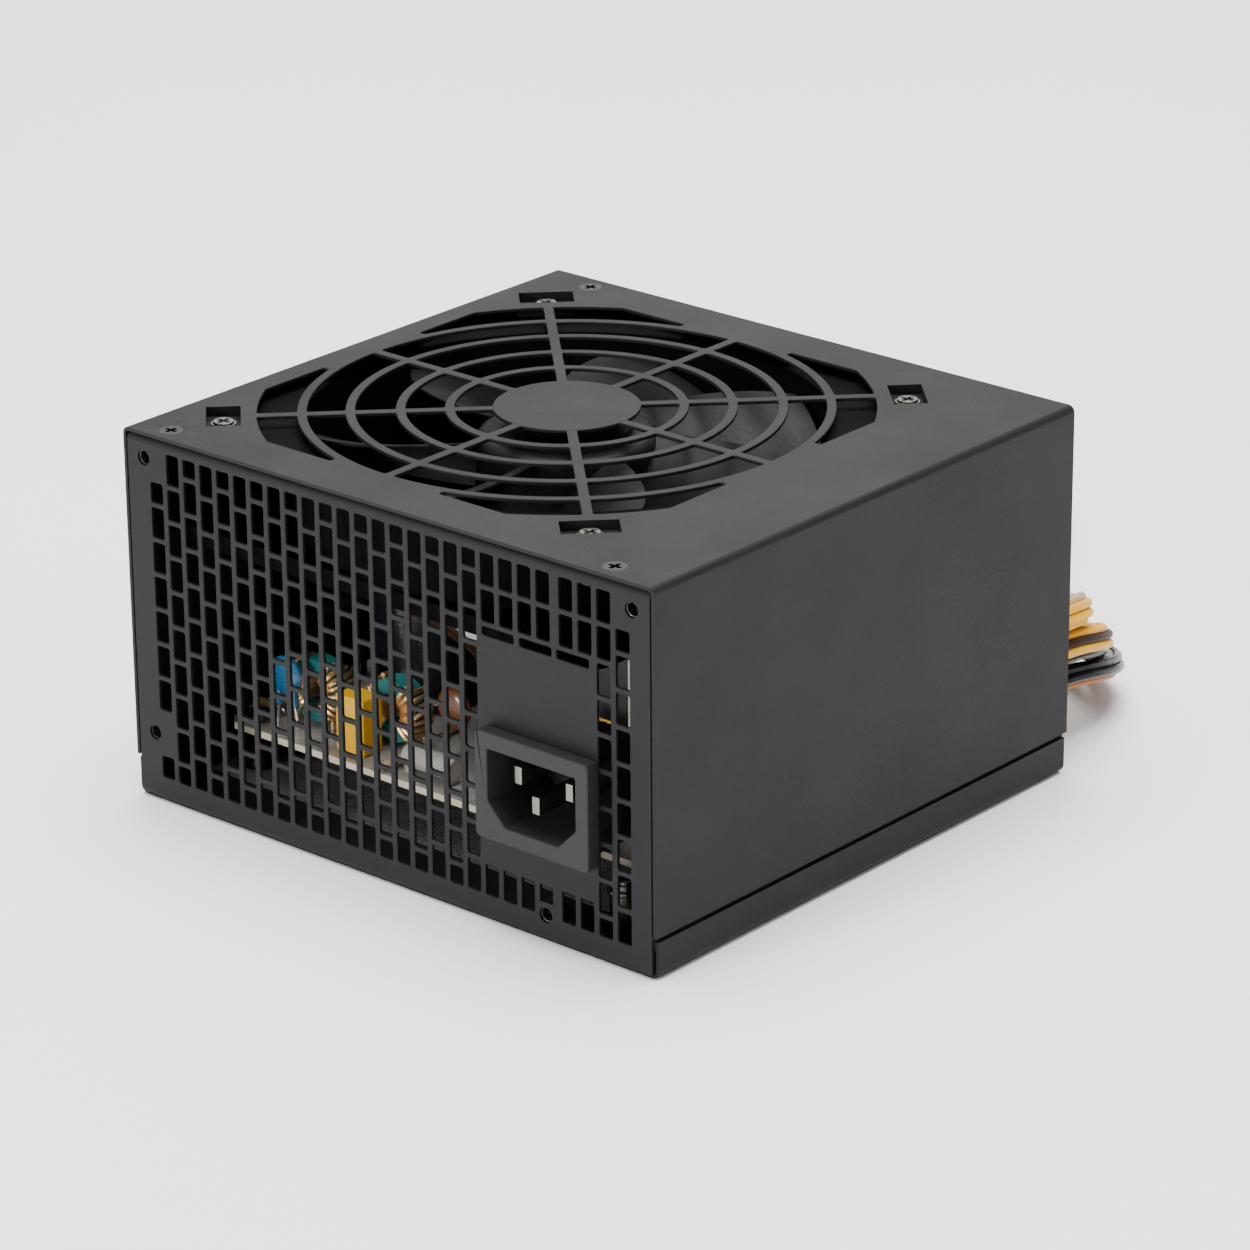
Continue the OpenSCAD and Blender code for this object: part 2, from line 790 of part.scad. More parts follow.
module fuse() {
    color([0.92, 0.9, 0.85]) {
        translate([-19, -42.5, board_top + 3.6]) rotate([0, 90, 0])
            cylinder(r = 2.6, h = 14, $fn = small_fn);
        for (x = [-18.4, -6.8]) block([x, -44.5, board_top], [x + 1.2, -40.5, board_top + 2]);
    }
}

thermistor_x = 3;

module thermistor() {
    color([0.12, 0.2, 0.15]) {
        bar_y(thermistor_x, board_top + 9.5, -39, -35, 5);
        for (x = sides) post(thermistor_x + x * 3, -37, board_top, board_top + 8, 0.5);
    }
}

module bridge_rectifier() {
    color([0.12, 0.12, 0.12]) {
        block([-66, -29, board_top + 4], [-62, -7, board_top + 19]);
        for (y = [-26.5:5.6:-9]) block([-64.5, y, board_top], [-63.5, y + 1.2, board_top + 4.5]);
    }
}

module bulk_capacitors() {
    color([0.13, 0.13, 0.15]) for (y = [-9, 18]) {
        post(-44, y, board_top, board_top + bulk_h - 1, bulk_r);
        post(-44, y, board_top, board_top + bulk_h, bulk_r - 1.2);
    }
}

// upright plate along Y with a slotted top bent over to one side
module heatsink(x, near, far, turn) {
    t = 3;
    top_w = 11;
    difference() {
        union() {
            block([x, near, board_top + 1.5], [x + t, far, heatsink_top]);
            if (turn < 0) block([x - top_w, near, heatsink_top - t], [x + 1, far, heatsink_top]);
            if (turn > 0) block([x + 1, near, heatsink_top - t], [x + t + top_w, far, heatsink_top]);
        }
        for (y = [near + 7:10:far - 4])
            block([turn < 0 ? x - top_w - 1 : x + t + 3, y, heatsink_top - t - 1],
                [turn < 0 ? x - 3 : x + t + top_w + 1, y + 3, heatsink_top + 1]);
    }
    for (y = [near + 4, far - 6]) block([x + 0.5, y, board_top], [x + t - 0.5, y + 3, board_top + 2]);
}

primary_x = -7;
secondary_x = 28;
transistor_y = [-14, 8];
rectifier_y = [-12, 8, 28];

module primary_heatsink() {
    color([0.72, 0.72, 0.7]) difference() {
        heatsink(primary_x, -31, 36, -1);
        for (y = transistor_y) side_bore(primary_x - 1, primary_x + 4, y, 34);
    }
}

module secondary_heatsink() {
    color([0.72, 0.72, 0.7]) difference() {
        heatsink(secondary_x, -24, 40, 1);
        for (y = rectifier_y) side_bore(secondary_x - 1, secondary_x + 4, y, 34);
    }
}

// round hole or bar along X
module side_bore(near, far, y, z, r = 1.5) {
    translate([near, y, z]) rotate([0, 90, 0]) cylinder(r = r, h = far - near, $fn = small_fn);
}

// flat power part with a metal tab, held to a heatsink face at x
module power_part(x, y, w) {
    difference() {
        union() {
            block([x, y - w / 2, 20], [x + 4.4, y + w / 2, 30]);
            block([x, y - w / 2, 30], [x + 1.4, y + w / 2, 37.5]);
            for (pin = [-1, 0, 1])
                block([x + 1.6, y + pin * w / 4 - 0.5, board_top], [x + 2.4, y + pin * w / 4 + 0.5, 20]);
        }
        side_bore(x - 1, x + 6, y, 34);
    }
}

module power_transistors() {
    color([0.14, 0.14, 0.14]) for (y = transistor_y)
        translate([primary_x, 0, 0]) mirror([1, 0, 0]) power_part(0, y, 10);
}

module output_rectifiers() {
    color([0.14, 0.14, 0.14]) for (y = rectifier_y) power_part(secondary_x + 3, y, 14);
}

module heatsink_screws() {
    color([0.8, 0.8, 0.78]) {
        for (y = transistor_y) {
            side_bore(primary_x - 1.4, primary_x + 3, y, 34);
            side_bore(primary_x - 3.6, primary_x - 1.4, y, 34, pan_r);
        }
        for (y = rectifier_y) {
            side_bore(secondary_x, secondary_x + 4.4, y, 34);
            side_bore(secondary_x + 4.4, secondary_x + 6.6, y, 34, pan_r);
        }
    }
}

trafo = [12, 6];

module transformer_core() {
    color([0.3, 0.3, 0.32]) difference() {
        block([trafo[0] - 13, trafo[1] - 16.5, board_top + 6],
            [trafo[0] + 13, trafo[1] + 16.5, board_top + 29]);
        for (side = sides)
            translate([trafo[0], trafo[1] + side * 8.6, board_top + 17.5]) cube([30, 8.4, 13], center = true);
    }
}

module transformer_winding() {
    color([0.9, 0.78, 0.3]) {
        difference() {
            block([trafo[0] - 13.5, trafo[1] - 12.7, board_top + 11.2],
                [trafo[0] + 13.5, trafo[1] + 12.7, board_top + 23.8]);
            block([trafo[0] - 14, trafo[1] - 4.5, board_top + 11],
                [trafo[0] + 14, trafo[1] + 4.5, board_top + 24]);
        }
        block([trafo[0] - 13, trafo[1] - 14, board_top], [trafo[0] + 13, trafo[1] + 14, board_top + 5.9]);
    }
}

small_trafos = [[14, -25], [9, 33]];

module small_transformers() {
    color([0.85, 0.75, 0.3]) for (at = small_trafos) {
        block([at[0] - 8, at[1] - 7.5, board_top], [at[0] + 8, at[1] + 7.5, board_top + 4]);
        block([at[0] - 6, at[1] - 6, board_top + 4], [at[0] + 6, at[1] + 6, board_top + 14]);
        block([at[0] - 8, at[1] - 3, board_top + 4], [at[0] + 8, at[1] + 3, board_top + 15.5]);
    }
}

ring_at = [53, -6];
ring_mid = board_top + 7.5;

module flat_ring(r, w, h) {
    translate([ring_at[0], ring_at[1], ring_mid]) rotate_extrude($fn = round_fn)
        translate([r, 0]) square([w, h], center = true);
}

module output_choke_core() {
    color([0.9, 0.8, 0.2]) flat_ring(10, 6, 10);
}

module output_choke_winding() {
    color([0.72, 0.4, 0.2]) difference() {
        translate([ring_at[0], ring_at[1], ring_mid]) rotate([0, 0, 100])
            rotate_extrude(angle = 310, $fn = round_fn) translate([10, 0]) square([9, 14.5], center = true);
        flat_ring(10, 6, 10);
    }
}

out_caps = [[54, 21], [66, 21], [54, 33], [66, 33], [38, 50]];

module output_capacitors() {
    color([0.12, 0.14, 0.2]) for (at = out_caps) {
        post(at[0], at[1], board_top, board_top + 21, 5);
        post(at[0], at[1], board_top, board_top + 21.6, 4.3);
    }
}

module control_board() {
    color([0.1, 0.35, 0.2]) block([-6, 46, board_top], [30, 47.6, board_top + 26]);
}

module control_chips() {
    color([0.08, 0.08, 0.09]) {
        block([0, 47.6, board_top + 8], [12, 50.6, board_top + 15]);
        block([17, 47.6, board_top + 9], [25, 50, board_top + 14]);
    }
}

// holds the cables where their wires rise from the board
module wire_clamp() {
    color([0.1, 0.1, 0.1]) block([48.5, 48, board_top], [70, 52, board_top + 21]);
}

// ---------- cables ----------

// cable hole in the cable panel, grown by a margin
module grommet_outline(grow) {
    translate([59.7, 24.4]) rounded(20.6 + 2 * grow, 25.2 + 2 * grow, 3 + grow);
}

module cable_grommet() {
    color([0.08, 0.08, 0.08]) difference() {
        union() {
            plate_y(-inner_y - 1.6, tray_face + 1.6) grommet_outline(1.1);
            plate_y(-inner_y - 1.6, -inner_y) grommet_outline(2.2);
            plate_y(tray_face, tray_face + 1.6) grommet_outline(2.2);
        }
        plate_y(-inner_y - 3, tray_face + 3) grommet_outline(0);
    }
}

// part of a coil: square section between two radii and two heights
module coil_part(r, d, low, high, from, turn) {
    translate([coil_x, coil_y, 0]) rotate(from) rotate_extrude(angle = turn, $fn = 64)
        translate([r - d / 2, low]) square([d, high - low]);
}

// lower layer as the main coil has, and an upper layer that runs on past it to an end
module double_coil(r, d, end) {
    from = coil_from + lap;
    difference() {
        coil_part(r, d, coil_z, coil_z + 2 * d, 0, 360);
        coil_part(r, d + 2, coil_z - 1, coil_z + d, coil_from + coil_turn, 360 - coil_turn);
        coil_part(r, d + 2, coil_z + d, coil_z + 2 * d + 1, from, end - from);
    }
}

module main_cable() {
    color([0.85, 0.7, 0.2]) {
        tube(main_route, main_d / 2, 10);
        tube(main_end, main_d / 2, 10);
    }
}

module main_coil() {
    color([0.85, 0.7, 0.2])
        coil_part(main_ring, main_d, coil_z, coil_z + main_d, coil_from, coil_turn);
}

module cpu_cable() {
    color([0.9, 0.75, 0.25]) tube(cpu_route, cpu_d / 2, 10);
}

module cpu_coil() {
    color([0.9, 0.75, 0.25]) double_coil(cpu_ring, cpu_d, cpu_end);
}

module card_cable() {
    color([0.85, 0.6, 0.2]) tube(card_route, card_d / 2, 10);
}

module card_coil() {
    color([0.85, 0.6, 0.2]) double_coil(card_ring, card_d, card_end);
}

module drive_cable() {
    color([0.15, 0.15, 0.15]) tube(drive_route, drive_d / 2, 10);
}

module drive_coil() {
    color([0.15, 0.15, 0.15]) double_coil(drive_ring, drive_d, drive_end);
}

// plug housing with square sockets in its face: its wires enter at the origin
module plug(cols, deep) {
    w = cols * plug_cell + 1.4;
    translate([0, 0, -plug_high / 2]) {
        difference() {
            translate([0, -w / 2, 0]) cube([deep, w, plug_high]);
            for (c = [0:cols - 1], r = [0, 1])
                translate([deep - 8, 1.15 - w / 2 + plug_cell * c, 0.9 + r * plug_cell])
                    cube([9, 3.3, 3.3]);
        }
        translate([2, -3, plug_high]) cube([11, 6, 1.8]);
    }
}

plug_cell = 4.2;
plug_high = 9.8;

// place over the coil at an angle and a height, facing the way the cable runs
module at_coil(r, angle, middle) {
    translate([coil_x, coil_y, middle]) rotate(angle)
        translate([r, 0, 0]) rotate(-90) children();
}

module main_plug() {
    last = main_end[len(main_end) - 1];
    color([0.9, 0.9, 0.88]) translate(last) rotate(-90) plug(12, 22);
}

module cpu_plug() {
    color([0.12, 0.12, 0.12]) at_coil(cpu_ring, cpu_end, coil_z + 2 * card_d + plug_high / 2) plug(4, 20);
}

module card_plug() {
    color([0.12, 0.12, 0.12]) at_coil(card_ring, card_end, coil_z + 2 * drive_d + plug_high / 2) plug(4, 20);
}

// flat plug of the drive cable
module drive_plug() {
    color([0.1, 0.1, 0.1]) at_coil(drive_ring, drive_end, coil_z + cpu_d + 3) difference() {
        translate([0, -11.5, -3]) cube([14, 23, 6]);
        translate([6, -9, -0.5]) cube([9, 18, 1.6]);
    }
}

// band round the whole coil at an angle
module tie(angle, top) {
    near = drive_ring - drive_d / 2 - 0.15;
    far = main_ring + main_d / 2;
    translate([coil_x, coil_y, 0]) rotate(angle) difference() {
        translate([near - tie_t, -tie_w / 2, coil_z - tie_t])
            cube([far - near + 2 * tie_t, tie_w, top - coil_z + 2 * tie_t]);
        translate([near, -tie_w, coil_z]) cube([far - near, 2 * tie_w, top - coil_z]);
    }
}

module cable_ties() {
    color([0.1, 0.1, 0.1]) for (at = ties_at) tie(at[0], at[1]);
}

base_tray();
top_cover();
cover_screws();
fan_frame();
fan_screws();
fan_bearing();
fan_stator();
fan_windings();
fan_driver_board();
fan_lead();
fan_plug();
fan_rotor();
fan_shaft();
fan_magnet();
inlet_body();
inlet_blades();
inlet_wires();
earth_wire();
earth_post();
earth_screw();
insulation_sheet();
board_posts();
circuit_board();
board_screws();
x_capacitor();
y_capacitors();
choke_cores();
choke_windings();
fuse();
thermistor();
bridge_rectifier();
bulk_capacitors();
primary_heatsink();
secondary_heatsink();
power_transistors();
output_rectifiers();
heatsink_screws();
transformer_core();
transformer_winding();
small_transformers();
output_choke_core();
output_choke_winding();
output_capacitors();
control_board();
control_chips();
wire_clamp();
cable_grommet();
main_cable();
main_coil();
main_plug();
cpu_cable();
cpu_coil();
cpu_plug();
card_cable();
card_coil();
card_plug();
drive_cable();
drive_coil();
drive_plug();
cable_ties();
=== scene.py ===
# Power supply unit: looks of the case, fan, mains inlet, inner parts and cables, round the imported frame.
# Sizes and places are in millimetres and angles in degrees, apart from those marked otherwise.
import json
import math
import random

import bmesh
import bpy
import numpy as np
from mathutils import Matrix, Vector
from mathutils.geometry import delaunay_2d_cdt


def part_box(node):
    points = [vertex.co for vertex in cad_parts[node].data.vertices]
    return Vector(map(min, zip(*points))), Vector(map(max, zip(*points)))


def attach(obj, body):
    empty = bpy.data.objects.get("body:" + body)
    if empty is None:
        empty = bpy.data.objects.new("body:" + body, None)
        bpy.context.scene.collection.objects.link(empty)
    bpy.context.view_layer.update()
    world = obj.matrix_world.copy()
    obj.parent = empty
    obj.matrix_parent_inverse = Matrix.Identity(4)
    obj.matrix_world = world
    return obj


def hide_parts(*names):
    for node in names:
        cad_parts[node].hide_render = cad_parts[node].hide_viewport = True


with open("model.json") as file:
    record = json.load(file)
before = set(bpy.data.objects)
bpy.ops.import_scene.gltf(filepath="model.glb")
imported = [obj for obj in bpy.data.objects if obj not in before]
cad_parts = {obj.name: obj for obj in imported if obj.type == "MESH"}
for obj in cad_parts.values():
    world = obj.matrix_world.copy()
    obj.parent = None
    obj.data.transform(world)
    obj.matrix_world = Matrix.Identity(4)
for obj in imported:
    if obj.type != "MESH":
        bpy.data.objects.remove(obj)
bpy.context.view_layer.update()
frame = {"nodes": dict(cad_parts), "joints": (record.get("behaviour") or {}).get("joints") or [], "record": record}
MM = 0.001
rng = random.Random(7)


def in_mm(point):
    """A point of the frame in millimetres, to the nearest micron."""
    return [round(v / MM, 3) for v in point]


def heights(node):
    """The lowest and highest Z of a CAD node."""
    return [in_mm(corner)[2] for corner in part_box(node)]


SHEET = 0.8
REAR = in_mm(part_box("base_tray")[0])[1]
COVER_TOP = heights("top_cover")[1]
BOARD_LOW, BOARD_TOP = heights("circuit_board")


# ---------- camera, floor and light ----------

CAM_AT = Vector((0.70808, -0.80842, 0.47003))   # metres
CAM_TO = Vector((-0.03507, 0.04798, 0.01351))   # metres
CAM_ROLL = -0.008275                            # radians
CAM_LENS = 152.5
CAM_SENSOR = 36
CAM_RANGE = (0.01, 20)                          # metres

FLOOR_HALF = 6          # metres
FLOOR_DROP = 0.0002     # metres that the floor lies under the object
SKY_STRENGTH = 0.7

# where each lamp hangs, what it points at and its diameter in metres, and its power in watts
LAMPS = {"light_top": ((0.0, 0.1, 1.6), (0, 0, 0), 1.4, 62),
         "light_sheen": ((-1.35, 1.6, 1.15), (0, 0, 0.08), 1.3, 8),
         "light_front": ((-0.3, -1.7, 0.5), (-0.02, -0.03, 0.03), 0.5, 27)}


def add_camera():
    ahead = (CAM_TO - CAM_AT).normalized()
    side = ahead.cross(Vector((0, 0, 1))).normalized()
    up = side.cross(ahead)
    c, s = math.cos(CAM_ROLL), math.sin(CAM_ROLL)
    right, top = c * side + s * up, c * up - s * side
    cam = bpy.data.objects.new("camera", bpy.data.cameras.new("camera"))
    bpy.context.scene.collection.objects.link(cam)
    turn = Matrix((right, top, -ahead)).transposed()
    cam.matrix_world = Matrix.Translation(CAM_AT) @ turn.to_4x4()
    cam.data.lens = CAM_LENS
    cam.data.sensor_width = CAM_SENSOR
    cam.data.clip_start, cam.data.clip_end = CAM_RANGE
    bpy.context.scene.camera = cam


def add_floor():
    h = FLOOR_HALF
    mesh = bpy.data.meshes.new("floor")
    mesh.from_pydata([(-h, -h, 0), (h, -h, 0), (h, h, 0), (-h, h, 0)], [], [(0, 1, 2, 3)])
    mesh.materials.append(finish("floor"))
    floor = bpy.data.objects.new("floor", mesh)
    floor.location.z = -FLOOR_DROP
    bpy.context.scene.collection.objects.link(floor)


def add_sky():
    world = bpy.data.worlds.new("world")
    bpy.context.scene.world = world
    world.use_nodes = True
    sky = world.node_tree.nodes["Background"]
    sky.inputs["Color"].default_value = (1, 1, 1, 1)
    sky.inputs["Strength"].default_value = SKY_STRENGTH


def add_lamp(name):
    at, to, size, power = LAMPS[name]
    lamp = bpy.data.lights.new(name, "AREA")
    lamp.shape = "DISK"
    lamp.size = size
    lamp.energy = power
    ob = bpy.data.objects.new(name, lamp)
    bpy.context.scene.collection.objects.link(ob)
    ob.location = at
    ob.rotation_mode = "QUATERNION"
    ob.rotation_quaternion = (Vector(to) - Vector(at)).to_track_quat("-Z", "Y")


# ---------- materials ----------

MADE = {}
PATCH_DETAIL, GRAIN_DETAIL = 4.0, 3.0
NOISE_LOW, NOISE_HIGH = 0.3, 0.7    # the part of the noise that spans a finish's whole range
ROUGH_LEAST = 0.03


def noise(tree, vector, size, detail):
    """Noise with features of a size in metres."""
    tex = tree.nodes.new("ShaderNodeTexNoise")
    tree.links.new(vector, tex.inputs["Vector"])
    tex.inputs["Scale"].default_value = 1 / size
    tex.inputs["Detail"].default_value = detail
    return tex.outputs["Fac"]


def mean_of(tree, one, other):
    half = tree.nodes.new("ShaderNodeMath")
    half.operation = "MULTIPLY"
    tree.links.new(other, half.inputs[0])
    half.inputs[1].default_value = 0.5
    both = tree.nodes.new("ShaderNodeMath")
    both.operation = "MULTIPLY_ADD"
    tree.links.new(one, both.inputs[0])
    both.inputs[1].default_value = 0.5
    tree.links.new(half.outputs[0], both.inputs[2])
    return both.outputs[0]


def material(name, colour, rough=0.5, metal=0.0, shade=0.12, grain=0.0004, patch=0.02,
             bump=0.15, bump_mm=0.05, coat=0.0, stretch=(1, 1, 1), rough_var=0.12, spec=0.5,
             clear=0.0):
    """Finish built from noise: patches and grain vary its tone and gloss, and the grain its relief.

    grain and patch are sizes in metres, and shade is how far the colour varies each way.
    """
    if name in MADE:
        return MADE[name]
    mat = bpy.data.materials.new(name)
    mat.use_nodes = True
    tree = mat.node_tree
    shader = tree.nodes["Principled BSDF"]
    coords = tree.nodes.new("ShaderNodeTexCoord")
    mapping = tree.nodes.new("ShaderNodeMapping")
    mapping.inputs["Scale"].default_value = stretch
    tree.links.new(coords.outputs["Object"], mapping.inputs["Vector"])
    patches = noise(tree, mapping.outputs["Vector"], patch, PATCH_DETAIL)
    grains = noise(tree, mapping.outputs["Vector"], grain, GRAIN_DETAIL)
    both = mean_of(tree, grains, patches)

    ramp = tree.nodes.new("ShaderNodeValToRGB")
    dark, light = ramp.color_ramp.elements
    dark.position, light.position = NOISE_LOW, NOISE_HIGH
    dark.color = [c * (1 - shade) for c in colour] + [1]
    light.color = [min(1, c * (1 + shade)) for c in colour] + [1]
    tree.links.new(both, ramp.inputs["Fac"])
    tree.links.new(ramp.outputs["Color"], shader.inputs["Base Color"])

    gloss = tree.nodes.new("ShaderNodeMapRange")
    tree.links.new(both, gloss.inputs["Value"])
    gloss.inputs["From Min"].default_value = NOISE_LOW
    gloss.inputs["From Max"].default_value = NOISE_HIGH
    gloss.inputs["To Min"].default_value = max(ROUGH_LEAST, rough - rough_var)
    gloss.inputs["To Max"].default_value = min(1, rough + rough_var)
    tree.links.new(gloss.outputs["Result"], shader.inputs["Roughness"])

    relief = tree.nodes.new("ShaderNodeBump")
    relief.inputs["Strength"].default_value = bump
    relief.inputs["Distance"].default_value = bump_mm * MM
    tree.links.new(grains, relief.inputs["Height"])
    tree.links.new(relief.outputs["Normal"], shader.inputs["Normal"])

    shader.inputs["Metallic"].default_value = metal
    shader.inputs["Specular IOR Level"].default_value = spec
    shader.inputs["Coat Weight"].default_value = coat
    shader.inputs["Transmission Weight"].default_value = clear
    MADE[name] = mat
    return mat


WIRE = dict(grain=0.002, bump=0.1)

FINISH = {
    # case and screws
    "dark_sheet": dict(colour=(0.0088, 0.009, 0.0094), rough=0.5, shade=0.14, grain=0.0003, bump=0.9,
                       bump_mm=0.07, rough_var=0.08, spec=0.15),
    # in silver_steel and screw_steel the strong, fine patches paint bright specks: painted glints on the heads
    "silver_steel": dict(colour=(0.11, 0.107, 0.096), rough=0.3, metal=1, shade=0.85, patch=0.0014,
                         bump=0.35),
    "screw_steel": dict(colour=(0.06, 0.058, 0.05), rough=0.32, metal=1, shade=0.75, patch=0.002,
                        bump=0.35),
    "screw_black": dict(colour=(0.028, 0.027, 0.024), rough=0.4, metal=1, shade=0.85, patch=0.0012,
                        bump=0.4),
    # fan and windings
    "grey_plastic": dict(colour=(0.0062, 0.0064, 0.0072), rough=0.46, grain=0.0007, bump=0.25,
                         spec=0.12),
    "frame_plastic": dict(colour=(0.0042, 0.0044, 0.0052), rough=0.7, grain=0.0006, bump=0.3,
                          spec=0.02),
    "bearing_bronze": dict(colour=(0.42, 0.27, 0.1), rough=0.4, metal=1),
    "motor_steel": dict(colour=(0.45, 0.45, 0.44), rough=0.4, metal=1, stretch=(1, 1, 8)),
    "magnet": dict(colour=(0.05, 0.045, 0.04), rough=0.6),
    "copper_wire": dict(colour=(0.98, 0.6, 0.3), rough=0.34, metal=1, grain=0.001, bump=0.05,
                        coat=0.5, shade=0.15),
    "fan_wire": dict(colour=(0.02, 0.007, 0.002), rough=0.5, spec=0.1),
    # mains inlet
    "inlet_plastic": dict(colour=(0.0165, 0.0165, 0.017), rough=0.6, grain=0.0006, bump=1.0,
                          bump_mm=0.16, rough_var=0.05, spec=0.25),
    "blade_metal": dict(colour=(0.2, 0.19, 0.165), rough=0.34, metal=1, shade=0.35, patch=0.002,
                        stretch=(1, 0.1, 1)),
    "mains_wire": dict(colour=(0.3, 0.1, 0.03), rough=0.42),
    "earth_wire": dict(colour=(0.08, 0.34, 0.05), rough=0.42, shade=0.5, patch=0.003),
    # board
    "board_green": dict(colour=(0.03, 0.13, 0.05), rough=0.4, coat=0.4),
    "board_tan": dict(colour=(0.32, 0.31, 0.28), rough=0.5, shade=0.35, patch=0.003, coat=0.2),
    # light cream for the board's side faces: a painted highlight along its edges
    "board_edge": dict(colour=(0.82, 0.73, 0.56), rough=0.6, shade=0.18, patch=0.004),
    "insulator": dict(colour=(0.12, 0.12, 0.12), rough=0.3, clear=0.2),
    "solder": dict(colour=(0.75, 0.75, 0.73), rough=0.24, metal=1, grain=0.0004),
    # parts on the board
    "film_yellow": dict(colour=(1.0, 0.5, 0.012), rough=0.3, coat=0.4, bump=0.1),
    "disc_blue": dict(colour=(0.018, 0.125, 0.26), rough=0.22, coat=0.6, bump=0.1),
    "disc_amber": dict(colour=(0.12, 0.032, 0.007), rough=0.3, coat=0.4),
    "core_green": dict(colour=(0.008, 0.15, 0.15), rough=0.42, coat=0.3),
    "core_yellow": dict(colour=(0.8, 0.6, 0.1), rough=0.45),
    "fuse_ceramic": dict(colour=(0.36, 0.345, 0.31), rough=0.5),
    "thermistor": dict(colour=(0.04, 0.09, 0.05), rough=0.5),
    "part_black": dict(colour=(0.006, 0.006, 0.0065), rough=0.42, bump=0.4, spec=0.3),
    "can_sleeve": dict(colour=(0.008, 0.009, 0.013), rough=0.3, coat=0.4, spec=0.3),
    "can_top": dict(colour=(0.55, 0.55, 0.55), rough=0.32, metal=1, grain=0.0008),
    "heatsink": dict(colour=(0.5, 0.5, 0.5), rough=0.45, metal=1, stretch=(1, 1, 0.1),
                     grain=0.0008),
    "ferrite": dict(colour=(0.045, 0.045, 0.05), rough=0.6, bump=0.5),
    "tape_yellow": dict(colour=(0.9, 0.5, 0.04), rough=0.3, coat=0.3, shade=0.2, patch=0.004,
                        stretch=(1, 1, 6)),
    "resistor": dict(colour=(0.45, 0.33, 0.18), rough=0.4, coat=0.3),
    # cables and plugs
    "black_plastic": dict(colour=(0.018, 0.018, 0.0188), rough=0.6, grain=0.00045, bump=0.9,
                          bump_mm=0.1, spec=0.3, rough_var=0.06),
    "plug_white": dict(colour=(0.74, 0.72, 0.64), rough=0.42, bump=0.2),
    "plug_black": dict(colour=(0.009, 0.009, 0.0095), rough=0.45, bump=0.4, spec=0.3),
    "wire_yellow": dict(colour=(0.72, 0.33, 0.0), rough=0.5, spec=0.2, **WIRE),
    "wire_pale": dict(colour=(0.66, 0.34, 0.03), rough=0.5, spec=0.2, **WIRE),
    # cream wire colour; along the top of the cpu bundle it is a painted highlight, glare on yellow wires
    "wire_cream": dict(colour=(0.4, 0.31, 0.17), rough=0.5, spec=0.25, **WIRE),
    "wire_amber": dict(colour=(0.36, 0.1, 0.003), rough=0.5, spec=0.2, **WIRE),
    "wire_brown": dict(colour=(0.02, 0.006, 0.003), rough=0.5, spec=0.15, **WIRE),
    "wire_black": dict(colour=(0.003, 0.003, 0.0034), rough=0.32, spec=0.25, **WIRE),
    "wire_red": dict(colour=(0.5, 0.014, 0.01), rough=0.36, **WIRE),
    "wire_orange": dict(colour=(0.8, 0.17, 0.01), rough=0.36, **WIRE),
    # surroundings
    "floor": dict(colour=(0.96, 0.96, 0.96), rough=0.7, shade=0.01, patch=0.2, bump=0.02),
}


def finish(name):
    return material(name, **FINISH[name])


# ---------- meshes ----------

WELD = 1e-7             # metres
SMOOTH_UNDER = 35
SPLINE_STEPS = 24       # points worked out between two given ones
BAR_STEP = 0.8


def mesh_object(name, parts, mats, body="case", weld=WELD):
    """One piece from parts of (vertices in metres, faces, index of the material)."""
    verts, faces, index = [], [], []
    for v, f, k in parts:
        base = len(verts)
        verts.extend(tuple(p) for p in v)
        faces.extend(tuple(base + i for i in q) for q in f)
        index.extend([k] * len(f))
    mesh = bpy.data.meshes.new(name)
    mesh.from_pydata(verts, [], faces)
    for m in mats:
        mesh.materials.append(finish(m))
    mesh.polygons.foreach_set("material_index", index)
    mesh.update()
    bm = bmesh.new()
    bm.from_mesh(mesh)
    bmesh.ops.remove_doubles(bm, verts=bm.verts, dist=weld)
    bmesh.ops.recalc_face_normals(bm, faces=bm.faces)
    bm.to_mesh(mesh)
    bm.free()
    ob = bpy.data.objects.new(name, mesh)
    bpy.context.scene.collection.objects.link(ob)
    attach(ob, body)
    smooth(ob)
    return ob


def smooth(ob, under=SMOOTH_UNDER):
    """Smooth shading, apart from edges sharper than an angle."""
    mesh = ob.data
    mesh.polygons.foreach_set("use_smooth", [True] * len(mesh.polygons))
    mesh.set_sharp_from_angle(angle=math.radians(under))


def add_bevel(ob, width, over):
    """Rounds the edges sharper than an angle."""
    bevel = ob.modifiers.new("edge", "BEVEL")
    bevel.width = width * MM
    bevel.segments = 2
    bevel.limit_method = "ANGLE"
    bevel.angle_limit = math.radians(over)


def curve_points(p, step):
    """Even points on a smooth curve through p (Catmull-Rom)."""
    p = np.asarray(p, float)
    q = np.vstack([2 * p[0] - p[1], p, 2 * p[-1] - p[-2]])
    t = np.linspace(0, 1, SPLINE_STEPS, endpoint=False)[:, None]
    out = []
    for a, b, c, d in zip(q, q[1:], q[2:], q[3:]):
        out.append(0.5 * (2 * b + (c - a) * t + (2 * a - 5 * b + 4 * c - d) * t ** 2
                          + (3 * b - a - 3 * c + d) * t ** 3))
    out = np.vstack(out + [p[-1:]])
    s = np.concatenate([[0], np.cumsum(np.linalg.norm(np.diff(out, axis=0), axis=1))])
    keep = np.linspace(0, s[-1], max(2, int(round(s[-1] / step)) + 1))
    return np.stack([np.interp(keep, s, out[:, k]) for k in range(3)], 1)


def sides_along(p, up=(0, 0, 1)):
    """Two axes square to the curve at each point, carried along it without twist."""
    ahead = np.gradient(p, axis=0)
    ahead /= np.linalg.norm(ahead, axis=1)[:, None]
    a, side = np.array(up, float), []
    for t in ahead:
        a = a - a.dot(t) * t
        a /= np.linalg.norm(a)
        side.append(a)
    side = np.array(side)
    return side, np.cross(ahead, side)


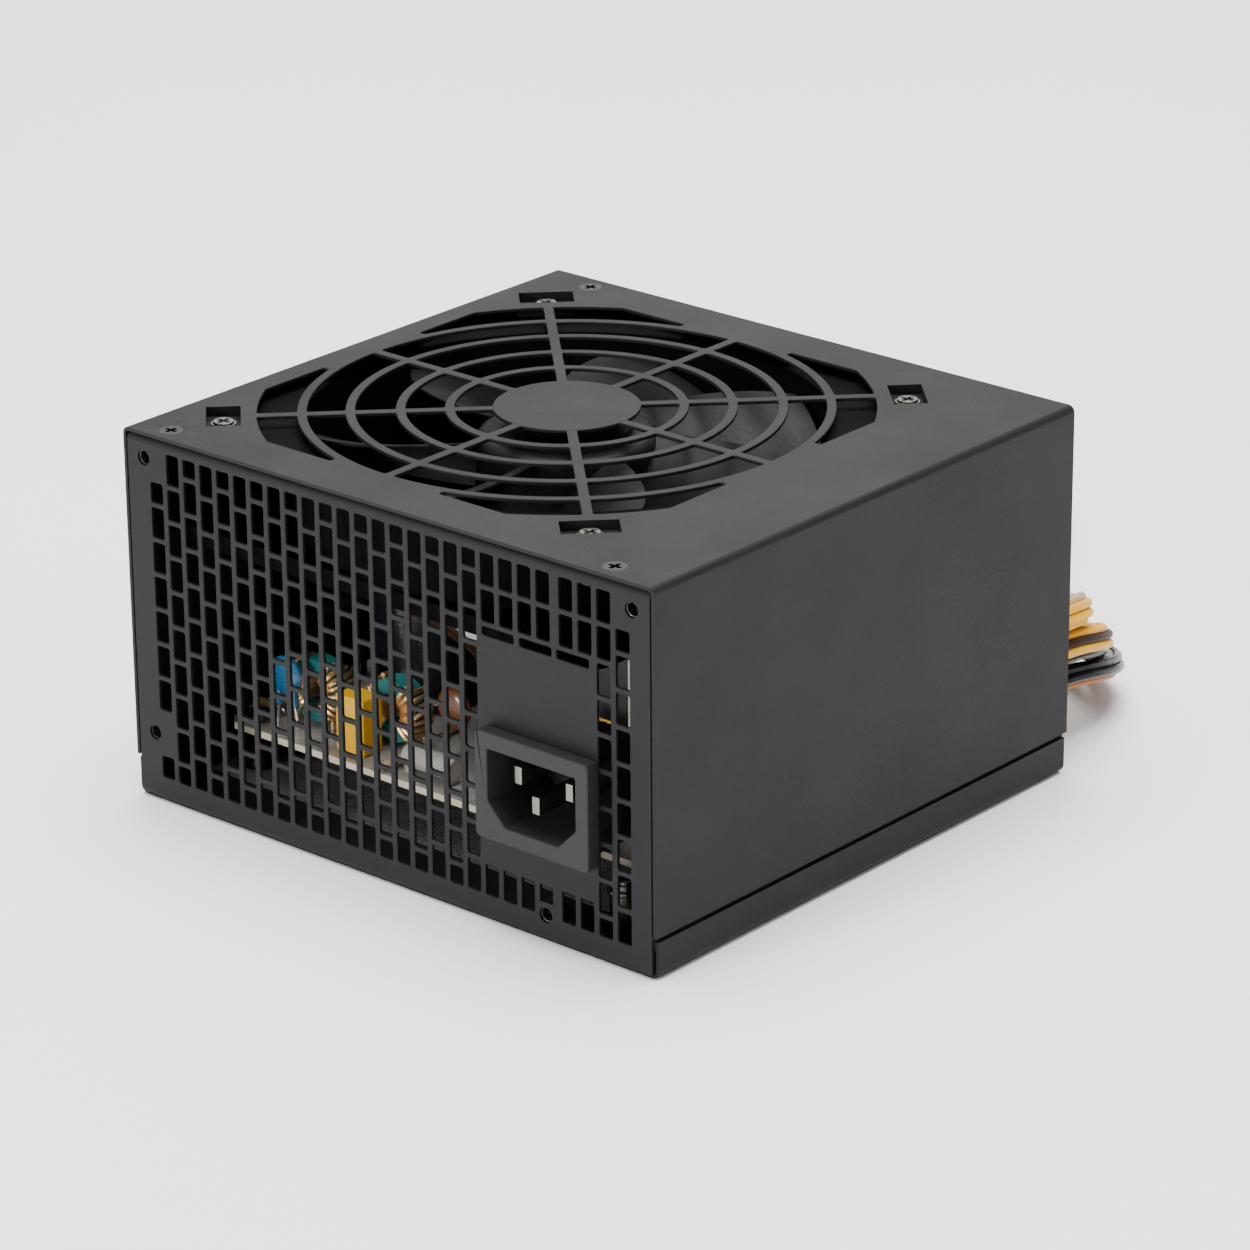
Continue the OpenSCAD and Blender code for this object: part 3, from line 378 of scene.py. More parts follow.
def bands(rows, n, closed=False):
    """Four-sided faces between rings of n points; closed joins the last ring to the first."""
    last = rows if closed else rows - 1
    return [(i * n + k, i * n + (k + 1) % n, (i + 1) % rows * n + (k + 1) % n, (i + 1) % rows * n + k)
            for i in range(last) for k in range(n)]


def tube(p, radius, sides=10, up=(0, 0, 1)):
    """Closed round bar along points in metres; radius is one number or one for each point."""
    p = np.asarray(p, float)
    a, b = sides_along(p, up)
    r = np.broadcast_to(np.asarray(radius, float), (len(p),))
    ang = np.linspace(0, 2 * math.pi, sides, endpoint=False)
    ring = (p[:, None] + r[:, None, None] * (np.cos(ang)[None, :, None] * a[:, None]
                                             + np.sin(ang)[None, :, None] * b[:, None]))
    caps = [tuple(range(sides - 1, -1, -1)), tuple((len(p) - 1) * sides + k for k in range(sides))]
    return ring.reshape(-1, 3), bands(len(p), sides) + caps


def bar(points, radius, sides=8):
    """Round bar along a smooth curve through points."""
    return tube(curve_points(np.array(points, float) * MM, BAR_STEP * MM), radius * MM, sides)


def lathe(profile, at, axis="Z", n=64):
    """Closed profile of (radius, height) turned about an axis through at."""
    v = []
    for ang in np.linspace(0, 2 * math.pi, n, endpoint=False):
        for r, h in profile:
            c, s = r * math.cos(ang), r * math.sin(ang)
            p = (c, s, h) if axis == "Z" else (c, h, s)
            v.append([(at[k] + p[k]) * MM for k in range(3)])
    return v, bands(n, len(profile), closed=True)


def box(low, high):
    v = [(x * MM, y * MM, z * MM) for x in (low[0], high[0]) for y in (low[1], high[1])
         for z in (low[2], high[2])]
    return v, [(0, 1, 3, 2), (4, 6, 7, 5), (0, 4, 5, 1), (2, 3, 7, 6), (0, 2, 6, 4), (1, 5, 7, 3)]


# ---------- cables ----------

# middle line of each cable, from inside the case to where its coil begins
MAIN_ROUTE = [[55.2, 52, 24], [55.2, 57, 24], [55.2, 62, 24.4], [55.2, 68, 24.8],
              [55.1, 74, 24.8], [54.2, 80, 23.8], [51.6, 85.8, 21.6], [47.2, 90.7, 18.4],
              [41.4, 94.5, 14.8], [34.6, 97, 11.4], [27.2, 98.2, 8.6], [19.4, 98.5, 7],
              [11, 98.5, 6.5], [0, 98.5, 6.5], [-13, 98.5, 6.5], [-27, 98.5, 6.5],
              [-43, 98.5, 6.5], [-62, 98.5, 6.5]]
CPU_ROUTE = [[65, 52, 30.4], [65, 57, 30.4], [65, 62, 30.8], [65, 68, 31.3],
             [65, 76, 31.4], [64.4, 83, 30.8], [62.3, 90, 29.2], [58.2, 96.3, 26.6],
             [52.6, 101.6, 22.8], [46, 105.7, 18], [38.2, 107.7, 14], [30.2, 108, 10.4],
             [22, 108, 7.6], [13, 108, 5.7], [3, 108, 5.1], [-12, 108, 5], [-34, 108, 5],
             [-62, 108, 5]]
CARD_ROUTE = [[65, 52, 22.4], [65, 57, 22.4], [65, 62, 22.8], [65, 68, 23.3],
              [65, 76, 23.3], [65, 85, 22.6], [64.2, 93, 20.9], [61.2, 100.7, 18.4],
              [55.8, 107.2, 15.4], [48.5, 111.8, 12.2], [40.5, 114.8, 9.2],
              [31.6, 115.8, 6.9], [22, 115.8, 5.5], [11, 115.8, 4.9], [-2, 115.8, 4.75],
              [-20, 115.8, 4.75], [-40, 115.8, 4.75], [-62, 115.8, 4.75]]
DRIVE_ROUTE = [[65, 52, 15.4], [65, 58, 15.4], [65, 64, 15.9], [65, 70, 16.3],
               [65, 78, 16.2], [65, 86, 15.3], [64.8, 94, 13.8], [63, 102.2, 11.7],
               [59, 109.8, 9.4], [53, 115.8, 7.3], [45, 119.8, 5.8], [36.6, 122.3, 4.6],
               [27, 122.6, 4.1], [15, 122.6, 4], [-2, 122.6, 4], [-20, 122.6, 4],
               [-40, 122.6, 4], [-62, 122.6, 4]]
# the main cable's way from its coil to its plug, over the others
MAIN_END = [[-8.9, 167.7, 6.5], [-6.9, 160, 6.8], [-5.2, 151.5, 8.8], [-3.8, 143, 12.4],
            [-2.6, 134.5, 16.2], [-1.4, 126, 18.8], [-1, 120.5, 19.2], [-1, 115, 19.2]]

COIL = (-62.0, 153.5)   # the middle of the four nested coils
COIL_Z = 1.0            # the coils lie this far above the floor
COIL_START = 264.0      # angle of a coil's first point after its route
STEP_FROM = 15.0        # from here to STEP_TO a coil climbs one layer, before it meets its own start
STEP_TO = -12.0
RISE = 35.0             # the last angle, over which a coil that ends in a plug rises to it
TURN_STEP = 6
PATH_STEP = 2.5

# ring is a coil's radius, end the angle where it stops, and end_z its height there; colours go
# round each cable, from the side away from the case's middle
CABLES = {
    "main": dict(
        route=MAIN_ROUTE, ring=55.0, dia=11.0, end=20.0, end_z=6.5, tail=MAIN_END, wire=1.1,
        colours=["wire_orange", "wire_red", "wire_black", "wire_yellow", "wire_black",
                 "wire_orange", "wire_red", "wire_black", "wire_cream", "wire_pale",
                 "wire_yellow", "wire_red"]),
    "cpu": dict(
        route=CPU_ROUTE, ring=45.5, dia=8.0, end=-145.0, end_z=20.9, tail=[], wire=1.08,
        colours=["wire_yellow", "wire_pale", "wire_yellow", "wire_black", "wire_black",
                 # the two cream wires lie along the bundle's top as a painted highlight on its yellow wires
                 "wire_cream", "wire_cream", "wire_pale"]),
    "card": dict(
        route=CARD_ROUTE, ring=37.7, dia=7.5, end=-176.0, end_z=17.9, tail=[], wire=1.06,
        colours=["wire_pale", "wire_black", "wire_black", "wire_black", "wire_black",
                 "wire_pale", "wire_yellow", "wire_brown"]),
    "drive": dict(
        route=DRIVE_ROUTE, ring=30.9, dia=6.0, end=-306.0, end_z=12.0, tail=[], wire=1.04,
        colours=["wire_black", "wire_amber", "wire_black", "wire_black", "wire_black"]),
}

# how the wires of a bundle twist and stray; each length is metres of cable for one radian, and
# SWAY is in radians
TWIST_LENGTH = 0.35
SWAY_LENGTH, SWAY_STEP, SWAY = 0.05, 2.4, 0.05
SINK_LENGTH, SINK_STEP, SINK = 0.031, 1.7, 0.12
BUNDLE_GAP = 0.04       # the wires stay this far inside the bundle's diameter


def ease(t):
    t = min(1, max(0, t))
    return t * t * (3 - 2 * t)


def coil_points(ring, dia, end, end_z):
    """Points of a coil, clockwise from the end of its route, up a layer and up to its end."""
    low, high = COIL_Z + dia / 2, COIL_Z + 1.5 * dia
    pts, ang = [], COIL_START
    while ang > end:
        z = low + (high - low) * ease((STEP_FROM - ang) / (STEP_FROM - STEP_TO))
        if ang < STEP_TO:
            z += (end_z - high) * ease((end + RISE - ang) / RISE)
        pts.append((ang, z))
        ang -= TURN_STEP
    pts.append((end, end_z))
    return [[COIL[0] + ring * math.cos(math.radians(a)),
             COIL[1] + ring * math.sin(math.radians(a)), z] for a, z in pts]


def add_cable(name):
    cable = CABLES[name]
    route, dia, wire, colours = cable["route"], cable["dia"], cable["wire"], cable["colours"]
    coil = coil_points(cable["ring"], dia, cable["end"], cable["end_z"])
    path = curve_points(np.array(route + coil + cable["tail"]) * MM, PATH_STEP * MM)
    a, b = sides_along(path)
    dist = np.arange(len(path)) * PATH_STEP * MM
    names = sorted(set(colours))
    parts = []
    for k, colour in enumerate(colours):
        sway = SWAY * np.sin(dist / SWAY_LENGTH + SWAY_STEP * k) * np.minimum(1, dist / SWAY_LENGTH)
        ang = math.pi / 2 + 2 * math.pi * k / len(colours) + dist / TWIST_LENGTH + sway
        sink = SINK * (1 + np.sin(dist / SINK_LENGTH + SINK_STEP * k))
        r = (dia / 2 - wire - BUNDLE_GAP - sink) * MM
        off = np.cos(ang)[:, None] * a + np.sin(ang)[:, None] * b
        parts.append((*tube(path + r[:, None] * off, wire * MM, sides=8), names.index(colour)))
    ob = mesh_object(name + "_wires", parts, names)
    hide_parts(name + "_cable", name + "_coil")


# ---------- CAD nodes that stay ----------

# nodes whose mesh is replaced below, so only their material is set here
REPLACED = ("base_tray", "top_cover", "fan_rotor", "choke_windings", "output_choke_winding",
            "y_capacitors", "bulk_capacitors", "output_capacitors")

# nodes that look different from their material slot
LOOKS = {"fan_frame": "frame_plastic", "inlet_body": "inlet_plastic", "cover_screws": "screw_black"}

# width of the rounded edges
EDGE = {"inlet_body": 0.55, "inlet_blades": 0.2, "fan_frame": 0.3, "main_plug": 0.25, "cpu_plug": 0.25,
        "card_plug": 0.25, "drive_plug": 0.25, "circuit_board": 0.1, "transformer_core": 0.3,
        "x_capacitor": 0.5, "cable_grommet": 0.2}
EDGE_ELSEWHERE = 0.12
EDGE_OVER = 40          # edges sharper than this are rounded
FLAT_WITHIN = 1         # lines where faces meet flatter than this are cleared
NODE_WELD = 0.01


def soften(node, width):
    """Welds a node, clears the lines inside its flat faces and rounds its edges."""
    ob = frame["nodes"][node]
    smooth(ob)
    ob.modifiers.new("weld", "WELD").merge_threshold = NODE_WELD * MM
    flat = ob.modifiers.new("flat", "DECIMATE")
    flat.decimate_type = "DISSOLVE"
    flat.angle_limit = math.radians(FLAT_WITHIN)
    add_bevel(ob, width, EDGE_OVER)
    ob.modifiers.new("normals", "WEIGHTED_NORMAL").keep_sharp = False


def dress_nodes():
    """Finishes for the CAD nodes. The wires' slots have none, because their nodes are hidden."""
    for part in frame["record"]["subparts"]:
        node, slot = part["node"], part["material_slot"]
        ob = frame["nodes"][node]
        look = LOOKS.get(node, slot)
        ob.data.materials.clear()
        ob.data.materials.append(finish(look if look in FINISH else "part_black"))
        if node not in REPLACED:
            soften(node, EDGE.get(node, EDGE_ELSEWHERE))


def paint_board_rim_highlight():
    """The board's side faces get a light cream colour, a painted highlight along its edges; its top and bottom
    faces stay tan.
    """
    mesh = frame["nodes"]["circuit_board"].data
    mesh.materials.append(finish("board_edge"))
    # faces that look sideways take the cream painted highlight
    for face in mesh.polygons:
        face.material_index = 0 if abs(face.normal.z) > 0.5 else 1


# ---------- sheet metal ----------

# across each punched wall: its axis, outer and inner levels, and the radius of its holes' corners
WALLS = {"base_tray": (1, REAR, REAR + SHEET, 0.55), "top_cover": (2, COVER_TOP, COVER_TOP - SHEET, 0.6)}
RIM = 0.14                                          # radius of the rolled rim of a hole
ROLL = [(1.0, 0.0), (0.293, 0.293), (0.0, 1.0)]     # a quarter circle: outwards, and down the hole
SHEET_WELD = 2e-6                                   # metres
SHEET_SMOOTH_UNDER = 50
ON_LEVEL = 0.002                                    # how near its level a side's points lie
FACING = 0.99                                       # how squarely its faces look outwards
SAME_POINT = 1e-5
STRAIGHT_UNDER = 0.5                                # a smaller turn is part of a straight run
CORNER_FROM = 28                                    # a smaller turn is part of an arc
LEAN_LEAST = 0.7                                    # caps how far a sharp corner moves outwards
CUT_MOST = 0.42                                     # the most of a side that a round corner takes
CORNER_STEPS = (0, 0.25, 0.5, 0.75, 1)


def loops_of(faces):
    """Closed outlines of a set of faces, as lists of vertices."""
    inside, step = set(faces), {}
    for f in faces:
        for loop in f.loops:
            if sum(g in inside for g in loop.edge.link_faces) == 1:
                step[loop.vert] = loop.link_loop_next.vert
    found = []
    while step:
        v, ring = next(iter(step)), []
        while v in step:
            ring.append(v)
            v = step.pop(v)
        found.append(ring)
    return found


def crosses(a, b):
    return a[:, 0] * b[:, 1] - a[:, 1] * b[:, 0]


def rounded(p, radius):
    """Outline with its corners rounded, anticlockwise; points on straight runs are dropped."""
    p = p if crosses(p, np.roll(p, -1, axis=0)).sum() > 0 else p[::-1]
    for _ in range(2):
        a, b = p - np.roll(p, 1, axis=0), np.roll(p, -1, axis=0) - p
        turn = np.abs(np.degrees(np.arctan2(crosses(a, b), (a * b).sum(1))))
        p = p[turn > STRAIGHT_UNDER]
    out = []
    for before, corner, after in zip(np.roll(p, 1, axis=0), p, np.roll(p, -1, axis=0)):
        a, b = corner - before, after - corner
        la, lb = np.linalg.norm(a), np.linalg.norm(b)
        turn = abs(math.atan2(a[0] * b[1] - a[1] * b[0], a.dot(b)))
        if math.degrees(turn) < CORNER_FROM:
            out.append(corner)
            continue
        cut = min(radius * math.tan(turn / 2), CUT_MOST * la, CUT_MOST * lb)
        u, w = corner - a / la * cut, corner + b / lb * cut
        out += [(1 - t) ** 2 * u + 2 * t * (1 - t) * corner + t * t * w for t in CORNER_STEPS]
    return np.array(out)


def grown(p, by):
    """Anticlockwise outline moved outwards, into the metal round a hole."""
    a, b = p - np.roll(p, 1, axis=0), np.roll(p, -1, axis=0) - p
    a, b = a / np.linalg.norm(a, axis=1)[:, None], b / np.linalg.norm(b, axis=1)[:, None]
    n = np.stack([a[:, 1] + b[:, 1], -a[:, 0] - b[:, 0]], 1)
    n /= np.linalg.norm(n, axis=1)[:, None]
    lean = np.maximum(LEAN_LEAST, crosses(n, b))
    return p + n * (by / lean)[:, None]


def within(points, outline):
    """Which points lie inside an outline."""
    x, y, hit = points[:, 0], points[:, 1], np.zeros(len(points), bool)
    for (x0, y0), (x1, y1) in zip(outline, np.roll(outline, -1, axis=0)):
        if y0 != y1:
            hit ^= ((y0 > y) != (y1 > y)) & (x < (x1 - x0) * (y - y0) / (y1 - y0) + x0)
    return hit


def filled(border, holes):
    """Triangles of a flat face with holes: points and index triples."""
    pts, edges = [], []
    for ring in [border] + holes:
        k, n = len(pts), len(ring)
        pts += [Vector((float(x), float(y))) for x, y in ring]
        edges += [(k + i, k + (i + 1) % n) for i in range(n)]
    v, _, tri = delaunay_2d_cdt(pts, edges, [], 0, SAME_POINT, False)[:3]
    v = np.array([(q.x, q.y) for q in v])
    tri = np.array([t for t in tri if len(t) == 3])
    mid = v[tri].mean(1)
    keep = within(mid, border)
    for h in holes:
        near = np.flatnonzero(np.all((mid > h.min(0)) & (mid < h.max(0)), axis=1) & keep)
        if len(near):
            keep[near[within(mid[near], h)]] = False
    return v, tri[keep]


def pressed(node):
    """Painted sheet from the CAD node: its punched holes get round corners and rolled rims."""
    axis, outer, inner, corner_r = WALLS[node]
    out = math.copysign(1, outer - inner)
    flat = [k for k in range(3) if k != axis]
    bm = bmesh.new()
    bm.from_mesh(frame["nodes"][node].data)
    bmesh.ops.remove_doubles(bm, verts=bm.verts, dist=SHEET_WELD)
    bm.normal_update()

    def side_at(level, facing):
        return [f for f in bm.faces if f.normal[axis] * facing > FACING
                and all(abs(v.co[axis] / MM - level) < ON_LEVEL for v in f.verts)]

    def outline(ring):
        return np.array([[v.co[k] / MM for k in flat] for v in ring])

    def lift(p, level):
        v = np.zeros((len(p), 3))
        v[:, flat[0]], v[:, flat[1]], v[:, axis] = p[:, 0], p[:, 1], level
        return v * MM

    def place(ring):
        p = outline(ring)
        return tuple(np.round(np.concatenate([p.min(0), p.max(0)]), 1))

    # the outlines of both sides, the border first; a punched hole has the same place in both
    sides = [side_at(outer, out), side_at(inner, -out)]
    rings = [sorted(loops_of(f), key=lambda r: -np.ptp(outline(r), axis=0).prod()) for f in sides]
    placed = [{place(r): r for r in of_side[1:]} for of_side in rings]
    holes = [k for k in placed[0] if k in placed[1]]
    shapes = [rounded(outline(placed[0][k]), corner_r) for k in holes]

    # both sides again, with the new holes
    parts = []
    for level, of_side, at in zip((outer, inner), rings, placed):
        others = [outline(r) for k, r in at.items() if k not in holes]
        v, tri = filled(outline(of_side[0]), [grown(p, RIM) for p in shapes] + others)
        parts.append((lift(v, level), tri.tolist()))

    # the wall of each hole, rolled over at both ends
    steps = [(wide * RIM, outer - out * deep * RIM) for wide, deep in ROLL]
    steps += [(wide * RIM, inner + out * deep * RIM) for wide, deep in reversed(ROLL)]
    for p in shapes:
        v = np.concatenate([lift(grown(p, wide) if wide else p, level) for wide, level in steps])
        parts.append((v, bands(len(steps), len(p))))

    # the rest of the sheet as it is
    rims = [{v for k in holes for v in at[k]} for at in placed]
    walls = [f for f in bm.faces if all(v in rims[0] or v in rims[1] for v in f.verts)
             and all(any(v in rim for v in f.verts) for rim in rims)]
    bmesh.ops.delete(bm, geom=list(set(sides[0] + sides[1] + walls)), context="FACES")
    bm.verts.index_update()
    parts.append(([v.co.copy() for v in bm.verts], [[v.index for v in f.verts] for f in bm.faces]))
    bm.free()

    piece = mesh_object(node + "_sheet", [(*p, 0) for p in parts], ["dark_sheet"], weld=SHEET_WELD)
    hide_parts(node)
    smooth(piece, SHEET_SMOOTH_UNDER)
    piece.modifiers.new("normals", "WEIGHTED_NORMAL").keep_sharp = True


# ---------- fan ----------

FAN = in_mm(frame["joints"][0]["pos_m"])[:2]
HUB_LOW, HUB_TOP = heights("fan_rotor")
# radius, and depth under the hub's top
HUB_SECTION = [(1.6, 0.6), (3.0, 0.0), (13.2, 0.0), (13.8, 0.3), (14.0, 0.9), (14.4, 1.3),
               (18.0, 1.3), (19.2, 1.7), (19.8, 2.5), (20.0, 3.4), (20.0, 18.6), (19.7, 19.0),
               (18.65, 19.0), (18.65, 3.0), (18.2, 2.6), (4.4, 2.6), (4.2, 5.2), (1.6, 5.2)]

BLADES = 7
FIRST_BLADE = 12
BLADE_ROOT, BLADE_TIP = 19.6, 56.15
BLADE_MID = 72.0
BLADE_ROWS, BLADE_STEPS = 15, 13
HALF_CHORD, CHORD_GROWTH = 8.2, 8.6         # at the root, and what the tip adds
TIP_ROUND = 0.12                            # the share of the chord that the round tip loses
SWEEP = 0.2                                 # radians that the tip trails behind
HALF_RISE, ROOT_RISE = 8.5, 0.6             # at the tip, and what the root adds
TILT, CAMBER, RISE_SCALE = 0.9, 0.22, 0.98
EDGE_HALF, ROOT_HALF, TIP_THINNER = 0.18, 0.62, 0.25    # half thicknesses
BLADE_INSET = 0.9                           # room above and below, inside the hub's height


def blade(turn):
    """Curved fan blade: wide and swept at the tip, thin at both edges."""
    nr, ns = BLADE_ROWS, BLADE_STEPS
    grid = np.zeros((nr, ns, 3))
    thick = np.zeros((nr, ns))
    for i in range(nr):
        t = i / (nr - 1)
        r = BLADE_ROOT + (BLADE_TIP - BLADE_ROOT) * t
        wide = (HALF_CHORD + CHORD_GROWTH * t) / r
        for k in range(ns):
            s = (-1 + 2 * k / (ns - 1)) * (1 - TIP_ROUND * t ** 6)
            ang = math.radians(turn) + wide * s - SWEEP * t * t
            rise = TILT * s + CAMBER * (1 - s * s)
            grid[i, k] = (FAN[0] + r * math.cos(ang), FAN[1] + r * math.sin(ang),
                          BLADE_MID + (HALF_RISE + ROOT_RISE * (1 - t)) * rise * RISE_SCALE)
            thick[i, k] = EDGE_HALF + (ROOT_HALF - TIP_THINNER * t) * math.sqrt(max(0, 1 - s * s))
    n = np.cross(np.gradient(grid, axis=0), np.gradient(grid, axis=1))
    n /= np.linalg.norm(n, axis=2)[..., None]
    grid[..., 2] = np.clip(grid[..., 2], HUB_LOW + BLADE_INSET, HUB_TOP - BLADE_INSET)
    v = np.concatenate([(grid + n * thick[..., None]).reshape(-1, 3),
                        (grid - n * thick[..., None]).reshape(-1, 3)]) * MM
    m, f = nr * ns, []
    for i in range(nr - 1):
        for k in range(ns - 1):
            q = (i * ns + k, i * ns + k + 1, (i + 1) * ns + k + 1, (i + 1) * ns + k)
            f += [q, tuple(m + x for x in reversed(q))]
    rim = ([k for k in range(ns)] + [i * ns + ns - 1 for i in range(1, nr)]
           + [(nr - 1) * ns + k for k in range(ns - 2, -1, -1)] + [i * ns for i in range(nr - 2, 0, -1)])
    f += [(a, b, m + b, m + a) for a, b in zip(rim, rim[1:] + rim[:1])]
    return v, f


def add_rotor():
    hub = [(r, HUB_TOP - depth) for r, depth in HUB_SECTION]
    parts = [(*lathe(hub, (*FAN, 0), n=96), 0)]
    parts += [(*blade(FIRST_BLADE + 360 * k / BLADES), 0) for k in range(BLADES)]
    rotor = mesh_object("fan_wheel", parts, ["grey_plastic"], "fan")
    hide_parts("fan_rotor")


# ---------- windings ----------

WIND_STEPS = 20             # points in one turn
SQUARENESS = 0.45           # a turn follows a rounded rectangle: 1 would be an ellipse
CHOKES = [(-51.5, -36.0, 20.5), (-30.2, -33.6, 20.5)]
CHOKE_R = 5.6
CHOKE_HALF = (2.3, 3.1)
CHOKE_SPAN = 56             # each winding reaches this far either way from the core's side
CHOKE_TURNS, CHOKE_WIRE = 9, 0.6
LEG_APART, LEG_WIRE = 2.2, 0.46
LEG_BEND, LEG_TOP = 13.6, 15.4
LEG_LEAN = 0.015            # the share of the way to the core's middle
OUTPUT_CHOKE = (53.0, -6.0, 19.4)
OUTPUT_R, OUTPUT_HALF = 10.0, (3.7, 5.7)
OUTPUT_FROM, OUTPUT_TO = 100, 410
OUTPUT_TURNS, OUTPUT_WIRE = 25, 0.7


def wound(at, ring, half, start, end, count, wire, flat=False):
    """Wire wound round a ring core: a flat core lies, and others stand in X and Z."""
    u = np.linspace(0, 1, count * WIND_STEPS)
    turn, ang = 2 * math.pi * count * u, np.radians(start + (end - start) * u)
    c, s = np.cos(turn), np.sin(turn)
    out = ring + half[0] * np.sign(c) * np.abs(c) ** SQUARENESS
    side = half[1] * np.sign(s) * np.abs(s) ** SQUARENESS
    x, y = out * np.cos(ang), out * np.sin(ang)
    p = np.stack([x, y, side], 1) if flat else np.stack([x, side, y], 1)
    return tube((p + np.array(at)) * MM, wire * MM, sides=8)


def choke_leg(x, y, middle):
    lean = x * (1 - LEG_LEAN) + middle * LEG_LEAN
    return bar([(x, y, BOARD_TOP), (x, y, LEG_BEND), (lean, y, LEG_TOP)], LEG_WIRE)


def add_windings():
    parts = []
    for at in CHOKES:
        for side, x in ((0, at[0] + CHOKE_R), (180, at[0] - CHOKE_R)):
            parts.append((*wound(at, CHOKE_R, CHOKE_HALF, side - CHOKE_SPAN, side + CHOKE_SPAN,
                                 CHOKE_TURNS, CHOKE_WIRE), 0))
            for dy in (-LEG_APART, LEG_APART):
                parts.append((*choke_leg(x, at[1] + dy, at[0]), 0))
    ob = mesh_object("choke_turns", parts, ["copper_wire"])
    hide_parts("choke_windings")
    ring = wound(OUTPUT_CHOKE, OUTPUT_R, OUTPUT_HALF, OUTPUT_FROM, OUTPUT_TO, OUTPUT_TURNS,
                 OUTPUT_WIRE, flat=True)
    ob = mesh_object("output_turns", [(*ring, 0)], ["copper_wire"])
    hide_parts("output_choke_winding")


# ---------- capacitors ----------

AXIS_R = 0.01               # a profile stops just short of its axis

# radius, and distance from the disc's middle plane
DISC = [(AXIS_R, -1.65), (2.6, -1.55), (3.9, -1.1), (4.55, -0.4), (4.55, 0.4), (3.9, 1.1),
        (2.6, 1.55), (AXIS_R, 1.65)]
DISC_MID = 24.7
DISCS = {"disc_left": (-55.0, -43.0, "disc_blue"), "disc_right": (-14.0, -33.0, "disc_amber")}

# radius, node and places of each kind of can
CANS = {"bulk": (12.4, "bulk_capacitors", [(-44.0, -9.0), (-44.0, 18.0)]),
        "out": (4.95, "output_capacitors", [(54.0, 21.0), (66.0, 21.0), (54.0, 33.0), (66.0, 33.0),
                                            (38.0, 50.0)])}


def add_discs():
    """Two disc capacitors on bent legs: one blue, one amber."""
    for name, (x, y, tint) in DISCS.items():
        parts = [(*lathe(DISC, (x, y, DISC_MID), "Y", n=40), 0)]
        for side in (-1, 1):
            leg = [(x + 3 * side, y, BOARD_TOP), (x + 3 * side, y, 15), (x + 2.4 * side, y, 18),
                   (x + 2.2 * side, y, 21)]
            coating = [(x + 2.5 * side, y, 17.6), (x + 2.2 * side, y, 22)]
            parts.append((*bar(leg, 0.4), 1))
            parts.append((*bar(coating, 0.85), 0))
        ob = mesh_object(name, parts, [tint, "solder"])
        if tint == "disc_blue":
            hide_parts("y_capacitors")


def can(x, y, r, top):
    """Sleeve with a rolled bead, and the aluminium top with its cross-scored vent."""
    low, b = BOARD_TOP + 0.4, 0.05 * r
    sleeve = [(AXIS_R, low), (r - b, low), (r, low + b), (r, low + 2.2), (r - 1.2 * b, low + 2.8),
              (r, low + 3.4), (r, top - b), (r - b, top - 0.1), (0.84 * r, top - 0.15),
              (0.82 * r, top - 0.6), (AXIS_R, top - 0.6)]
    disc = [(AXIS_R, top - 0.9), (0.83 * r, top - 0.9), (0.83 * r, top - 0.25), (0.8 * r, top - 0.2),
            (AXIS_R, top - 0.2)]
    parts = [(*lathe(sleeve, (x, y, 0), n=56), 0), (*lathe(disc, (x, y, 0), n=40), 1)]
    long, thin = 0.62 * r, 0.035 * r + 0.08
    for a, c in ((long, thin), (thin, long)):
        parts.append((*box((x - a, y - c, top - 0.25), (x + a, y + c, top - 0.12)), 0))
    return parts


def add_cans():
    for kind, (r, node, places) in CANS.items():
        top = heights(node)[1]
        parts = [part for x, y in places for part in can(x, y, r, top)]
        ob = mesh_object(kind + "_cans", parts, ["can_sleeve", "can_top"])
        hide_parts(node)


# ---------- threads and small parts ----------

THREADED = [in_mm(m["pos_m"]) for m in frame["record"]["mounts"] if m["kind"] == "threaded_hole"]
THREAD_R, THREAD_PITCH, THREAD_TURNS, CREST_R = 1.63, 0.75, 4.6, 0.11
THREAD_STEPS = 120
THREAD_DEPTH = 0.3          # where the thread begins, in from the rear face

# x and y of each axial part, and the axis that it lies along: 0 is X, 1 is Y
AXIAL = [(-66, -38, 0), (-22, -44, 1), (36, -34, 0), (46, -38, 1), (50, -30, 1), (38, -24, 0),
         (-25, -22, 1), (-60, 40, 0), (-48, 46, 1), (-36, 44, 0), (-24, 52, 1), (22, 54, 0), (-58, 54, 1)]
AXIAL_UP, AXIAL_HALF = 1.3, 3.2
LEAD_END, LEAD_BEND, LEAD_WIRE = 5, 4.4, 0.3
# radii along an axial part's body: thick at both ends, like a bone
BONE = (0.5, 1.15, 1.2, 0.95, 0.95, 0.95, 1.2, 1.15, 0.5)

# x, y, width and height of each upright part
UPRIGHT = [(-67, -45.5, 3, 6), (41, -44, 4, 7), (-20, 58, 5, 6), (-44, 58, 4, 8), (-64, 34, 4, 5),
           (12, 58, 4, 6)]
UPRIGHT_HALF, UPRIGHT_UP = 1.2, 1

SOLDER_JOINTS = 90
SOLDER_X, SOLDER_Y = (-68, 68), (-46, 62)
SOLDER = [(AXIS_R, -0.75), (0.5, -0.4), (0.9, 0), (AXIS_R, 0)]
SMALL_EDGE, SMALL_EDGE_OVER = 0.15, 60


